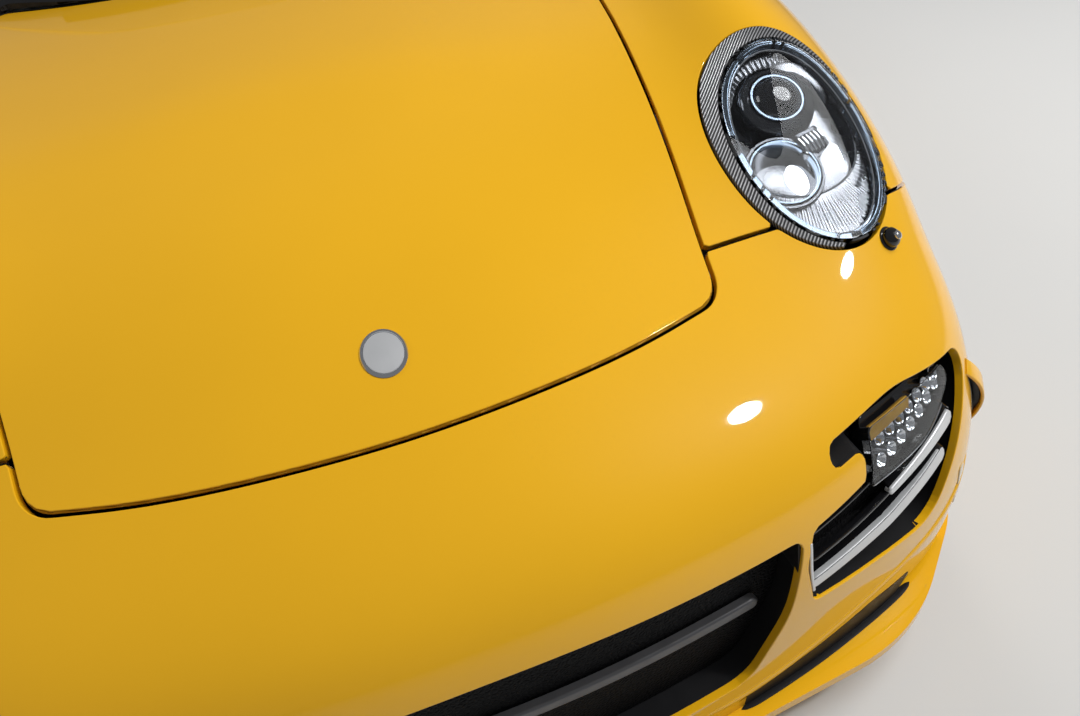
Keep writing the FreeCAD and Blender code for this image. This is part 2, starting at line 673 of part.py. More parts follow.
def door_hinges():
    """Two brackets, leaves, eyes and pins that stand out of the left hinge pillar."""
    pieces = []
    for height in HINGE_HEIGHTS:
        low, high = height - HINGE_HALF, height + HINGE_HALF
        reach = HINGE_ROOM + HINGE_PIN_REACH
        pieces += [box(770, HINGE_BRACKET_X, DOOR_FRONT_Y - 20, HINGE_Y + HINGE_LEAF_HALF,
                       low, high),
                   box(HINGE_BRACKET_X - 8, HINGE_X, HINGE_Y - HINGE_LEAF_HALF,
                       HINGE_Y + HINGE_LEAF_HALF, low, high),
                   cylinder(V(HINGE_X, HINGE_Y, low), Z_AXIS, HINGE_EYE_R, high - low),
                   cylinder(V(HINGE_X, HINGE_Y, low - reach), Z_AXIS, HINGE_PIN_R,
                            high - low + 2 * reach)]
    return pieces


def glazing(outline, plane, low, high, patch=None):
    """A pane that follows the cabin's skin, cut to an outline."""
    patch = patch or (0.0, CABIN_U_END, 0.0, CABIN_V_END)
    pane = layer(CABIN_NET, -GLASS_INSET, GLASS_INSET + GLASS, patch)
    return main_solid(pane.common(prism(plane, outline, low, high)))


def windscreen():
    return glazing(grown(symmetric(WINDSCREEN_HALF), -GLASS_GAP), "xy", 600, 1500)


def rear_glass():
    return glazing(grown(symmetric(REAR_GLASS_HALF), -GLASS_GAP), "xy", 900, 1500)


def quarter_glass():
    return both_sides(glazing(grown(QUARTER_WINDOW, -GLASS_GAP), "yz", 300, 900))


def door_glass(door_solid):
    pane = glazing(grown(DOOR_WINDOW, -GLASS_GAP), "yz", 300, 900)
    return main_solid(pane.cut(door_solid))


def door_swing():
    """Room in the pillar's foot for the upper front corner of the left door."""
    return box(DOOR_SWING_X, 800, DOOR_FRONT_Y - DOOR_GAP, DOOR_SWING_Y, 0, DOOR_SWING_Z)


def cabin_shell():
    """Roof and pillars: each fixed window is rebated, so that its pane lies on a flange."""
    whole = (0.0, CABIN_U_END, 0.0, CABIN_V_END)
    shell = layer(CABIN_NET, 0, ROOF_SKIN, whole)
    rebate = layer(CABIN_NET, 6, GLASS_INSET + GLASS + 0.3, whole)
    tools = [prism("yz", BELOW_CABIN, -FAR, FAR), prism("yz", DOOR_WINDOW, -900, 900),
             prism("xy", grown(symmetric(LID_HALF), LID_GAP), 300, 1500),
             door_swing(), mirrored(door_swing())]
    for outline, plane, low, high in ((symmetric(WINDSCREEN_HALF), "xy", 600, 1500),
                                      (symmetric(REAR_GLASS_HALF), "xy", 900, 1500),
                                      (QUARTER_WINDOW, "yz", -900, 900)):
        tools.append(prism(plane, grown(outline, -GLASS_FLANGE), low, high))
        tools.append(rebate.common(prism(plane, outline, low, high)))
    return cut_all(shell, tools)


def shell_skin():
    """The shell's outer panels on the body skin: cowl, hips and rear deck."""
    skin = layer(BODY_NET, 0, SKIN, SHELL_PATCH)
    angle = math.radians(TAIL_SEAM_DEG - math.degrees(SEAM_GAP / 2 / 900.0))
    reach = 1700.0
    region = [(DOOR_FRONT_Y, SILL_BOTTOM_Z, 0), (REAR_AXLE_Y, SILL_BOTTOM_Z, 0),
              (REAR_AXLE_Y, REAR_TYRE_R, 0),
              (REAR_AXLE_Y - reach * math.cos(angle), REAR_TYRE_R + reach * math.sin(angle), 0),
              (REAR_AXLE_Y, FAR, 0), (COWL_REACH_Y, FAR, 0), (COWL_REACH_Y, 600, 0),
              (DOOR_FRONT_Y, 600, 0)]
    skin = main_solid(skin.common(prism("yz", region, -FAR, FAR)))
    beside_lid = [(552, COWL_REACH_Y - 200, 0), (1200, COWL_REACH_Y - 200, 0),
                  (1200, DOOR_FRONT_Y, 0), (552, DOOR_FRONT_Y, 0)]
    tools = [prism("xy", grown(symmetric(CABIN_FOOT_HALF), -CABIN_LAP), 500, 1500),
             prism("xy", grown(symmetric(LID_HALF), LID_GAP), 300, 1500),
             prism("xy", grown(symmetric(TAIL_LID_HALF), LID_GAP), 500, 1500)]
    for left in (arch_cut(REAR_AXLE_Y, REAR_TYRE_R, REAR_ARCH_R), tail_lamp_room(3.0),
                 prism("xy", beside_lid, 300, 1500), door_hole(), door_swing()):
        tools += [left, mirrored(left)]
    return cut_all(skin, tools)


def door_hole():
    return prism("yz", grown(DOOR, DOOR_GAP), DOOR_REGION[0][0] - 4, 1200)


def door_post():
    """The sill and the post behind the door, set back where the door's inner edge swings."""
    post = side_core(-SKIN / 2).common(box(POST_INNER_X, 1200, DOOR_REAR_Y - 60,
                                           DOOR_REAR_Y + 70, SILL_BOTTOM_Z, POST_TOP_Z))
    sill = side_core(0).common(box(SILL_INNER_X, 1200, DOOR_FRONT_Y, DOOR_REAR_Y + 30,
                                   SILL_BOTTOM_Z, SILL_TOP_Z))
    set_back = prism("yz", grown(DOOR, JAMB_SETBACK), DOOR_REGION[0][0] - 20, JAMB_X)
    return cut_all(post.fuse(sill), [door_hole(), set_back])


def body_shell():
    """The welded shell: roof, pillars, hips, rear deck, cowl, door posts and sills."""
    cabin = cut_all(cabin_shell(), [door_hole(), mirrored(door_hole())])
    post = door_post()
    shell = cabin.fuse(shell_skin())
    return main_solid(shell.fuse(post).fuse(mirrored(post)))


def headlamp_body():
    """Ring, bowl and projector of the left headlamp."""
    ring = layer(BODY_NET, 3, 12, FRONT_LAMP_PATCH)
    ring = ring.common(lamp_cylinder(LAMP_LONG, LAMP_WIDE, -160, 160))
    flange = layer(BODY_NET, -SKIN - 0.3, 12, FRONT_LAMP_PATCH)
    flange = flange.common(lamp_cylinder(LAMP_LONG + 12, LAMP_WIDE + 12, -160, 160))
    ring = ring.fuse(flange).cut(lens_cylinder(0, -170, 170))
    ring = main_solid(ring)
    bowl = lens_cylinder(7, -LAMP_DEPTH, 40).cut(lens_cylinder(0, -LAMP_DEPTH + 8, 60))
    bowl = main_solid(bowl.cut(layer(BODY_NET, 120, 5, FRONT_LAMP_PATCH)))
    axis = V(LAMP_AXIS)
    axis.normalize()
    back = axis * (-LAMP_DEPTH + 4)
    projector = cylinder(LAMP_CENTRE + PROJECTOR_SHIFT + back, axis, PROJECTOR_R, LAMP_DEPTH - 30)
    reflector = cylinder(LAMP_CENTRE + REFLECTOR_SHIFT + back, axis, REFLECTOR_R, LAMP_DEPTH - 60)
    reflector = reflector.cut(cylinder(LAMP_CENTRE + REFLECTOR_SHIFT + back + axis * 12, axis,
                                       REFLECTOR_R - 6, LAMP_DEPTH))
    return joined([ring, bowl, projector, reflector])


def headlamp_lens():
    pane = layer(BODY_NET, 5, 0, FRONT_LAMP_PATCH)
    return main_solid(pane.common(lens_cylinder(-SEAT, -160, 160)))


def front_lip():
    """The spoiler lip: a shelf under the bumper, thinner towards its edge, with end risers."""
    shelf = prism("xy", symmetric(LIP_HALF), LIP_BOTTOM_Z, LIP_BOTTOM_Z + LIP_THICK)
    inner = prism("xy", symmetric(LIP_INNER_HALF), LIP_BOTTOM_Z - 5, LIP_BOTTOM_Z + 60)
    shelf = shelf.cut(inner)
    riser = layer(BODY_NET, 0, 18, (0.0, 3.0, 0.0, BODY_V_END))
    riser = riser.common(box(-FAR, FAR, -FAR, FRONT_AXLE_Y - 395, LIP_BOTTOM_Z + LIP_THICK - 1,
                             NOSE_BOTTOM_Z))
    for left in (box(470, 745, -FAR, 0, 0, FAR), arch_cut(FRONT_AXLE_Y, FRONT_TYRE_R,
                                                         FRONT_ARCH_R + 8)):
        riser = riser.cut(left).cut(mirrored(left))
        shelf = shelf.cut(arch_cut(FRONT_AXLE_Y, FRONT_TYRE_R, FRONT_ARCH_R + 8))
        shelf = shelf.cut(mirrored(arch_cut(FRONT_AXLE_Y, FRONT_TYRE_R, FRONT_ARCH_R + 8)))
    return joined([shelf] + riser.Solids)


def follow(outline, plane, outward, inward, patch, low, high):
    """A piece of a layer of the body's skin within an outline."""
    return layer(BODY_NET, outward, inward, patch).common(prism(plane, outline, low, high))


def intake_insert(outline, outer):
    """A dark tray behind an opening of the nose, following the bumper's form."""
    back = follow(outer, "xz", -GRILLE_DEPTH, GRILLE_DEPTH + 6, FRONT_PATCH,
                  -FAR, FRONT_AXLE_Y - 420)
    rim = follow(outer, "xz", -SKIN - 0.3, GRILLE_DEPTH + 1, FRONT_PATCH,
                 -FAR, FRONT_AXLE_Y - 420)
    rim = main_solid(rim.cut(prism("xz", outline, -FAR, 0)))
    return joined([main_solid(back), rim])


def intake_grilles():
    """The trays of the three openings, slotted where the air goes through."""
    middle = intake_insert(symmetric(INTAKE_HALF), grown(symmetric(INTAKE_HALF), 14))
    left = intake_insert(DUCT, DUCT_BACK)
    for row in range(4):
        low = 196 + row * 52
        for column in range(-4, 5):
            slot = box(column * 66 - 27, column * 66 + 27, -FAR, 0, low, low + 38)
            middle = middle.cut(slot)
    for z in (304, 348):
        left = left.cut(box(470, 560, -FAR, 0, z, z + 32)).cut(box(572, 650, -FAR, 0, z, z + 32))
    return Part.makeCompound([main_solid(middle), main_solid(left), mirrored(main_solid(left))])


def duct_blades():
    """The bright blades across each outer duct, and the dark one in the middle intake."""
    lower = follow(BLADE_LOWER, "xz", -6, GRILLE_DEPTH - 0.3, FRONT_PATCH, -FAR, FRONT_AXLE_Y - 420)
    upper = follow(BLADE_UPPER, "xz", -10, GRILLE_DEPTH - 0.3, FRONT_PATCH, -FAR, FRONT_AXLE_Y - 420)
    middle = follow(symmetric(BLADE_MIDDLE_HALF), "xz", -30, GRILLE_DEPTH - SEAT, FRONT_PATCH,
                    -FAR, FRONT_AXLE_Y - 420)
    pieces = [main_solid(middle)]
    for blade in (lower, upper):
        pieces += [main_solid(blade), mirrored(main_solid(blade))]
    return Part.makeCompound(pieces)


def signal_lamps():
    lamp = follow(SIGNAL_LAMP, "xz", -8, GRILLE_DEPTH - 0.3, FRONT_PATCH, -FAR,
                  FRONT_AXLE_Y - 420)
    return both_sides(main_solid(lamp))


def rear_bumper():
    skin = layer(BODY_NET, 0, SKIN, TAIL_PATCH)
    half_gap = math.degrees(SEAM_GAP / 2 / 900.0)
    keep = wedge(REAR_AXLE_Y, REAR_TYRE_R, TAIL_SEAM_DEG + half_gap, 250, -FAR, FAR)
    skin = main_solid(skin.common(keep))
    tools = [box(-FAR, FAR, 0, FAR, -FAR, TAIL_BOTTOM_Z),
             prism("xy", grown(symmetric(TAIL_LID_HALF), LID_GAP), 500, 1500)]
    for left in (arch_cut(REAR_AXLE_Y, REAR_TYRE_R, REAR_ARCH_R),
                 tail_lamp_room(3.0),
                 prism("xz", TAIL_VENT, REAR_AXLE_Y + 560, FAR),
                 box(EXHAUST_X - 54, EXHAUST_X + 54, 1950, FAR, 0, EXHAUST_Z),
                 cylinder(V(EXHAUST_X, 1950, EXHAUST_Z), Y_AXIS, 54, 600)):
        tools += [left, mirrored(left)]
    return cut_all(skin, tools)


def tail_lamps():
    """A lens that stands a little proud, and a housing whose flange lies behind the skin."""
    lens = layer(BODY_NET, 2, 14, TAIL_PATCH).common(tail_lamp_room(0.0))
    housing = layer(BODY_NET, -SKIN - SEAT, 40, TAIL_PATCH).common(tail_lamp_room(9.0))
    return both_sides(joined([main_solid(lens), main_solid(housing)]))


def wing_section(x, y, z, chord, thick, lift):
    """A closed aerofoil outline across the car at x: two arcs and a blunt tail."""
    nose = V(x, y, z)
    tail = V(x, y + chord, z + lift)
    top = V(x, y + chord * 0.45, z + lift * 0.45 + thick * 0.35)
    under = V(x, y + chord * 0.45, z + lift * 0.45 - thick * 0.65)
    drop = V(0, 0, -5)
    return Part.Wire([Part.Arc(nose, top, tail).toShape(),
                      Part.LineSegment(tail, tail + drop).toShape(),
                      Part.Arc(tail + drop, under, nose + drop).toShape(),
                      Part.LineSegment(nose + drop, nose).toShape()])


def rear_wing():
    """An aerofoil across the tail on two swept feet that stand on the engine lid."""
    sections = [wing_section(x, y, z, chord, thick, lift)
                for x, y, z, chord, thick, lift in WING_SECTIONS]
    blade = Part.makeLoft(sections, True, False)
    outline = [(1835, 780, 0), (1945, 760, 0), (1985, 938, 0), (1870, 938, 0)]
    foot = prism("yz", outline, WING_FOOT_X - 11, WING_FOOT_X + 11)
    foot = foot.cut(layer(BODY_NET, 0, 90, TAIL_LID_PATCH))
    foot = main_solid(foot)
    return joined([blade, foot, mirrored(foot)])


def mirror_left():
    """The door mirror: a rounded shell on a short arm, with its glass facing back."""
    rings = []
    for ahead, wide, high in MIRROR_RINGS:
        centre = MIRROR_CENTRE - V(0, ahead, 0)
        ellipse = Part.Ellipse(centre + V(wide, 0, 0), centre + V(0, 0, high), centre)
        rings.append(Part.Wire(ellipse.toShape()))
    shell = Part.makeLoft(rings, True, False)
    arm = tube([V(795, MIRROR_CENTRE.y + 10, 800), MIRROR_CENTRE + V(-60, 0, -30)], 20)
    return joined([shell, arm])


def tyre(radius, width, x_mid, axle_y):
    """A tyre's cross section turned round the axle: tread, shoulders, walls and beads."""
    half = width / 2
    wall = radius - RIM_R
    profile = [(x_mid - half + 14, RIM_R), (x_mid - half, RIM_R + wall * 0.45),
               (x_mid - half + 6, radius - 20), (x_mid - half + 26, radius - 4),
               (x_mid - half * 0.4, radius), (x_mid + half * 0.4, radius),
               (x_mid + half - 26, radius - 4), (x_mid + half - 6, radius - 20),
               (x_mid + half, RIM_R + wall * 0.45), (x_mid + half - 14, RIM_R)]
    return turned(profile, axle_y, radius)


def turned(profile, axle_y, axle_z):
    """A closed profile of (x, distance from the axle) turned round an axle along X."""
    points = [V(x, axle_y, axle_z + r) for x, r in profile]
    face = Part.Face(Part.makePolygon(points + points[:1]))
    return face.revolve(V(0, axle_y, axle_z), X_AXIS, 360)


def rim(x_mid, width, axle_y, axle_z, shift):
    """A left wheel: barrel, five twin spokes with a dished face, hub, stub and brake disc."""
    half = width / 2
    inner, outer = x_mid - half, x_mid + half
    hub_x, disc_x, stub_x = HUB_X + shift, DISC_X + shift, STUB_X + shift
    barrel = turned([(inner, RIM_R + 8), (inner, RIM_R - 12), (inner + 30, RIM_R - 16),
                     (outer - 40, RIM_R - 20), (outer, RIM_R - 10), (outer, RIM_R + 8),
                     (outer - 7, RIM_R + 8), (outer - 12, RIM_R), (inner + 12, RIM_R),
                     (inner + 7, RIM_R + 8)], axle_y, axle_z)
    dish = turned([(hub_x, 0), (hub_x, 76), (hub_x + 20, 120), (outer - 26, RIM_R - 14),
                   (outer - 4, RIM_R - 10), (outer - 20, 130), (outer - 24, 60),
                   (outer - 18, 0)], axle_y, axle_z)
    spokes = []
    for i in range(SPOKE_PAIRS):
        for side in (-1, 1):
            turn = 360.0 * i / SPOKE_PAIRS + side * 15.0
            spoke = prism("yz", [(axle_y - 11, axle_z + 40, 0), (axle_y + 11, axle_z + 40, 0),
                                 (axle_y + 10, axle_z + RIM_R - 12, 0),
                                 (axle_y - 10, axle_z + RIM_R - 12, 0)], inner, outer)
            spoke.rotate(V(0, axle_y, axle_z), X_AXIS, turn)
            spokes.append(spoke)
    hub = cylinder(V(hub_x - 40, axle_y, axle_z), X_AXIS, 78, 110)
    star = joined(spokes + [hub]).common(dish)
    disc = cylinder(V(disc_x, axle_y, axle_z), X_AXIS, DISC_R, DISC_THICK)
    hat = cylinder(V(disc_x + 6, axle_y, axle_z), X_AXIS, 82, hub_x - disc_x - 6)
    stub = cylinder(V(stub_x, axle_y, axle_z), X_AXIS, STUB_R, disc_x - stub_x + 2)
    return joined([barrel, main_solid(star), disc, hat, stub])


def knuckle():
    """The left upright: a post on the kingpin, the stub's bearing, a steering arm, a caliper."""
    y, z = FRONT_AXLE_Y, FRONT_TYRE_R
    post = prism("yz", [(y - 20, LOWER_BALL_Z, 0), (y + 20, LOWER_BALL_Z, 0),
                        (y + 52, z - 40, 0), (y + 52, z + 40, 0), (y + 20, UPPER_BALL_Z, 0),
                        (y - 20, UPPER_BALL_Z, 0), (y - 52, z + 40, 0), (y - 52, z - 40, 0)],
                 STUB_X + 2, DISC_X - 6)
    arm = tube([V(KINGPIN_X - 8, y + 30, z - 60), V(KINGPIN_X - 40, RACK_Y, RACK_Z)], 11)
    caliper = box(DISC_X - 18, DISC_X + DISC_THICK + 26, y + 112, y + 196, z - 62, z + 62)
    slot = cylinder(V(DISC_X - CALIPER_GAP, y, z), X_AXIS, DISC_R + 6, DISC_THICK + 2 * CALIPER_GAP)
    caliper = caliper.cut(slot)
    caliper = caliper.common(cylinder(V(600, y, z), X_AXIS, RIM_R - 27, 400))
    bracket = box(KINGPIN_X - 8, DISC_X - 6, y + 30, y + 150, z - 40, z + 40)
    shape = joined([post, arm, caliper, bracket])
    return main_solid(shape.cut(cylinder(V(STUB_X - 20, y, z), X_AXIS, STUB_R + RUNNING_GAP, 200)))


def front_arms():
    """The left wishbones, with the spring leg that stands on the lower one."""
    y = FRONT_AXLE_Y
    low, high = V(KINGPIN_X, y, LOWER_BALL_Z - 12), V(KINGPIN_X, y, UPPER_BALL_Z + 12)
    pieces = []
    for ball, spreads in ((low, LOWER_ARM_SPREAD), (high, UPPER_ARM_SPREAD)):
        for spread in spreads:
            start = V(RAIL_OUTER_X, y + spread, ball.z)
            pieces.append(tube([start + (start - ball) * 0.1, ball], 11))
        pieces.append(cylinder(ball - V(0, 0, 11.7), Z_AXIS, 20, 23.4))
    pieces.append(cylinder(V(SPRING_X, y, low.z + 8), Z_AXIS, 30, SPRING_TOP_Z - low.z - 8))
    pieces.append(box(SPRING_X - 14, SPRING_X + 14, y - 90, y + 54, low.z - 8, low.z + 10))
    return cut_all(joined(pieces), [box(0, RAIL_OUTER_X, -FAR, 0, 0, FAR)])


def front_suspension():
    """Both sides' arms, and the steering rack under the rails with its track rods."""
    left = front_arms()
    bars = [cylinder(V(-430, RACK_Y, RACK_Z), X_AXIS, 22, 860)]
    for side in (lambda s: s, mirrored):
        bars.append(side(cylinder(V(425, RACK_Y, RACK_Z), X_AXIS, 8, TRACK_ROD_END_X - 425)))
    return Part.makeCompound([left, mirrored(left), joined(bars)])


def rear_suspension():
    """Uprights, arms, spring legs and half shafts of the driven axle."""
    y, z = REAR_AXLE_Y, REAR_TYRE_R
    post = box(STUB_X + 2 + REAR_SHIFT, DISC_X - 6 + REAR_SHIFT, y - 50, y + 50, 160, 500)
    caliper = box(DISC_X - 18 + REAR_SHIFT, DISC_X + DISC_THICK + 26 + REAR_SHIFT, y + 112,
                  y + 196, z - 62, z + 62)
    slot = cylinder(V(DISC_X - CALIPER_GAP + REAR_SHIFT, y, z), X_AXIS, DISC_R + 6,
                    DISC_THICK + 2 * CALIPER_GAP)
    caliper = caliper.cut(slot).common(cylinder(V(600, y, z), X_AXIS, RIM_R - 27, 400))
    bracket = box(KINGPIN_X - 8 + REAR_SHIFT, DISC_X - 6 + REAR_SHIFT, y + 30, y + 150,
                  z - 40, z + 40)
    upright = joined([post, caliper, bracket])
    upright = upright.cut(cylinder(V(STUB_X - 20 + REAR_SHIFT, y, z), X_AXIS,
                                   STUB_R + RUNNING_GAP, 200))
    pieces = [main_solid(upright)]
    for dy, height in ((-130, 190), (130, 190), (-90, 470), (90, 470)):
        pieces.append(tube([V(REAR_RAIL_OUTER_X - 20, y + dy, height),
                            V(STUB_X + 14 + REAR_SHIFT, y + dy * 0.3, height)], 12))
    pieces.append(cylinder(V(REAR_SPRING_X, y - 110, 190), Z_AXIS, 32, REAR_SPRING_TOP_Z - 190))
    left = cut_all(joined(pieces), [box(0, REAR_RAIL_OUTER_X, 0, FAR, 0, FAR)])
    shaft = cylinder(V(GEARBOX_HALF + 0.3, y, z), X_AXIS, 20,
                     STUB_X + REAR_SHIFT - GEARBOX_HALF - 6.3)
    return Part.makeCompound([left, mirrored(left), shaft, mirrored(shaft)])


def arch_liners():
    """Half rings that line the wheel arches behind the skin."""
    rings = []
    for axle_y, axle_z, radius, x0, x1 in (
            (FRONT_AXLE_Y, FRONT_TYRE_R, FRONT_ARCH_R + 8, LINER_INNER_X, 868),
            (REAR_AXLE_Y, REAR_TYRE_R, REAR_ARCH_R + 8, REAR_LINER_X, 900)):
        ring = cylinder(V(x0, axle_y, axle_z), X_AXIS, radius + 4, x1 - x0)
        ring = ring.cut(cylinder(V(x0, axle_y, axle_z), X_AXIS, radius, x1 - x0))
        ring = ring.cut(box(0, FAR, -FAR, FAR, -FAR, LINER_BOTTOM_Z))
        ring = ring.cut(layer(BODY_NET, 160, SKIN + SEAT, LEFT_PATCH))
        rings += [main_solid(ring), mirrored(main_solid(ring))]
    return Part.makeCompound(rings)


def luggage_tub():
    """The tub under the front lid, with its lock pad and the spring towers beside it."""
    back = FIREWALL_Y - SEAT
    bottom = FRONT_RAIL_TOP_Z + SEAT
    side = [(-1880, bottom, 20), (back, bottom, 0), (back, 800, 0), (-1500, 760, 0),
            (-1880, 600, 0)]
    tub = prism("yz", side, -TUB_HALF, TUB_HALF)
    hollow = [(-1872, bottom + 8, 14), (back - 8, bottom + 8, 14), (back - 8, 900, 0),
              (-1872, 900, 0)]
    tub = tub.cut(prism("yz", hollow, -TUB_HALF + 8, TUB_HALF - 8))
    tub = tub.cut(layer(BODY_NET, 160, LID_FRAME + 6, LID_PATCH))
    tub = main_solid(tub.cut(layer(BODY_NET, 160, SKIN + SEAT, COWL_PATCH)))
    lock_pad = box(-60, 60, -1952, -1872, 570, 700)
    lock_pad = lock_pad.cut(layer(BODY_NET, 160, LID_FRAME + SEAT, LID_PATCH))
    apron = box(TUB_HALF - 1, RAIL_OUTER_X, -1440, -1130, bottom, SPRING_TOP_Z + 8)
    tower = box(TUB_HALF - 1, SPRING_X + 42, FRONT_AXLE_Y - 60, FRONT_AXLE_Y + 60,
                SPRING_TOP_Z, SPRING_TOP_Z + 8)
    pieces = [tub, main_solid(lock_pad)]
    for left in (apron, tower):
        pieces += [left, mirrored(left)]
    return joined(pieces)


def cabin_floor():
    """The floor plate between the bulkheads, with the tunnel along its middle."""
    front, back = FIREWALL_Y + WALL_THICK + SEAT, REAR_WALL_Y - WALL_THICK - SEAT
    floor = box(-SILL_INNER_X, SILL_INNER_X, front, back, SILL_BOTTOM_Z, FLOOR_TOP_Z)
    tunnel = box(-120, 120, front, back, FLOOR_TOP_Z - 1, 330)
    return joined([floor, tunnel])


def firewall():
    """The front bulkhead, with the hinge pillars and the door hinges on them."""
    wall = box(-800, 800, FIREWALL_Y, FIREWALL_Y + WALL_THICK, SILL_BOTTOM_Z, 830)
    wall = wall.cut(layer(BODY_NET, 160, LID_FRAME + 6, LID_PATCH))
    pieces = [main_solid(wall.cut(layer(BODY_NET, 160, SKIN + SEAT, COWL_PATCH)))]
    pillar = box(745, 800, FIREWALL_Y, DOOR_FRONT_Y - 9, SILL_BOTTOM_Z, 790)
    for left in [pillar] + door_hinges():
        pieces += [left, mirrored(left)]
    return joined(pieces)


def front_frame():
    """The front rails with their blocks, and the beam and ram behind the bumper."""
    rail = box(360, RAIL_OUTER_X, -2072, FIREWALL_Y - SEAT, 240, FRONT_RAIL_TOP_Z)
    block = box(330, RAIL_OUTER_X, -1440, -1200, 135, 241)
    beam = box(-RAIL_OUTER_X, RAIL_OUTER_X, -2100, -2070, 235, 330)
    ram = box(-60, 60, -2160, -2099, 250, 310)
    beam = joined([beam, ram]).cut(layer(BODY_NET, 60, GRILLE_DEPTH + 6.3, FRONT_PATCH))
    pieces = [main_solid(beam)]
    for left in (rail, block):
        pieces += [left, mirrored(left)]
    return joined(pieces)


def rear_frame():
    """The rear rails with their aprons and towers, the rear beam and ram, and the lid's panel."""
    rail = box(400, REAR_RAIL_OUTER_X, REAR_WALL_Y + SEAT, 1900, 300, 380)
    apron = box(400, REAR_RAIL_OUTER_X, REAR_AXLE_Y - 170, REAR_AXLE_Y + 170, 170,
                REAR_SPRING_TOP_Z + 8)
    tower = box(400, REAR_SPRING_X + 40, REAR_AXLE_Y - 155, REAR_AXLE_Y - 65,
                REAR_SPRING_TOP_Z, REAR_SPRING_TOP_Z + 8)
    beam = box(-620, 620, 1900, 1940, 300, 380)
    ram = box(-60, 60, 1939, 2230, 300, 380)
    ram = main_solid(ram.cut(layer(BODY_NET, 60, SKIN + 0.3, TAIL_PATCH)))
    panel = box(-400, 400, 1924, 1934, 379, 1000)
    panel = main_solid(panel.cut(layer(BODY_NET, 160, LID_FRAME + SEAT, TAIL_LID_PATCH)))
    cross = box(-401, 401, ENGINE_REAR_Y, ENGINE_REAR_Y + 50, 300, 380)
    pieces = [beam, ram, panel, cross]
    for left in (rail, apron, tower):
        pieces += [left, mirrored(left)]
    shaft_hole = cylinder(V(-500, REAR_AXLE_Y, REAR_TYRE_R), X_AXIS, 34, 1000)
    return joined(pieces).cut(shaft_hole)


def floor_pan():
    """The platform: floor, bulkheads and frames that meet at 0.3 mm seams, and the tub."""
    rear_wall = box(-700, 700, REAR_WALL_Y - WALL_THICK, REAR_WALL_Y, SILL_BOTTOM_Z, 850)
    pieces = [cabin_floor(), firewall(), rear_wall, front_frame(), rear_frame(), luggage_tub()]
    return Part.makeCompound([main_solid(piece) for piece in pieces])


def engine_block():
    block = box(-330, 330, ENGINE_FRONT_Y, ENGINE_REAR_Y, 250, 600)
    gearbox = box(-GEARBOX_HALF, GEARBOX_HALF, REAR_WALL_Y + 40, ENGINE_FRONT_Y + 1, 250, 480)
    return joined([block, gearbox])


def exhaust():
    """Two silencers behind the engine and a pair of oval tips on each side."""
    silencer = box(150, 560, 1800, 1895, 205, 299.7)
    tip = cylinder(V(EXHAUST_X, 1890, EXHAUST_Z), Y_AXIS, 42, 300)
    tip = tip.cut(cylinder(V(EXHAUST_X, 1960, EXHAUST_Z), Y_AXIS, 37, 300))
    left = joined([silencer, tip])
    pipe = box(-151, 151, 1810, 1850, 240, 280)
    return joined([left, mirrored(left), pipe])


def radiators():
    left = box(RAIL_OUTER_X + 0.3, 690, -1960, -1900, 250, 450)
    middle = box(-300, 300, -2069.7, -2020, 300.3, 430)
    left = main_solid(left.cut(layer(BODY_NET, 60, GRILLE_DEPTH + 6 + SEAT, FRONT_PATCH)))
    return Part.makeCompound([left, mirrored(left), middle])


def seats():
    """Two front seats and the small rear pair, each a cushion and a leaning back."""
    pieces = []
    for x in (-370, 370):
        side = [(-330, FLOOR_TOP_Z, 0), (150, FLOOR_TOP_Z, 0), (160, 320, 30), (330, 860, 60),
                (270, 1010, 40), (190, 1000, 50), (60, 400, 60), (-330, 450, 60)]
        pieces.append(prism("yz", side, x - 250, x + 250))
    for x in (-330, 330):
        side = [(380, FLOOR_TOP_Z, 0), (REAR_WALL_Y - 12.3, FLOOR_TOP_Z, 0),
                (REAR_WALL_Y - 12.3, 840, 20), (580, 840, 20), (520, 420, 40), (380, 430, 30)]
        pieces.append(prism("yz", side, x - 200, x + 200))
    return Part.makeCompound(pieces)


def dashboard():
    side = [(FIREWALL_Y + 12.3, 500, 0), (-640, 480, 60), (-500, 620, 50), (-480, 740, 60),
            (-560, 822, 60), (FIREWALL_Y + 12.3, 826, 0)]
    board = prism("yz", side, -725, 725)
    column = tube([STEERING_WHEEL_CENTRE - STEERING_AXIS * 190,
                   STEERING_WHEEL_CENTRE - STEERING_AXIS * (12 + SEAT)], 28)
    return joined([board, column])


def steering_wheel():
    """A three-spoke wheel square to its column."""
    axis = STEERING_AXIS
    ring = Part.makeTorus(183, 14, STEERING_WHEEL_CENTRE, axis)
    hub = cylinder(STEERING_WHEEL_CENTRE - axis * 12, axis, 60, 34)
    spokes = []
    for degrees in (0, 180, 270):
        end = V(math.cos(math.radians(degrees)), -axis.z * math.sin(math.radians(degrees)),
                axis.y * math.sin(math.radians(degrees)))
        start = STEERING_WHEEL_CENTRE + axis * 2 + end * 30
        spokes.append(Part.makeCylinder(12, 148, start, end))
    return joined([ring, hub] + spokes)


def wipers():
    """Two wiper arms parked along the foot of the windscreen."""
    arms = []
    for points in (((-440, -655), (60, -735)), ((20, -745), (500, -640))):
        (xa, ya), (xb, yb) = points
        corners = [(xa, ya - 7, 0), (xb, yb - 4, 0), (xb, yb + 4, 0), (xa, ya + 7, 0)]
        arm = layer(CABIN_NET, 14, -SEAT, (0.0, 8.0, 0.0, CABIN_V_END))
        arms.append(main_solid(arm.common(prism("xy", corners, 500, 1500))))
    return Part.makeCompound(arms)


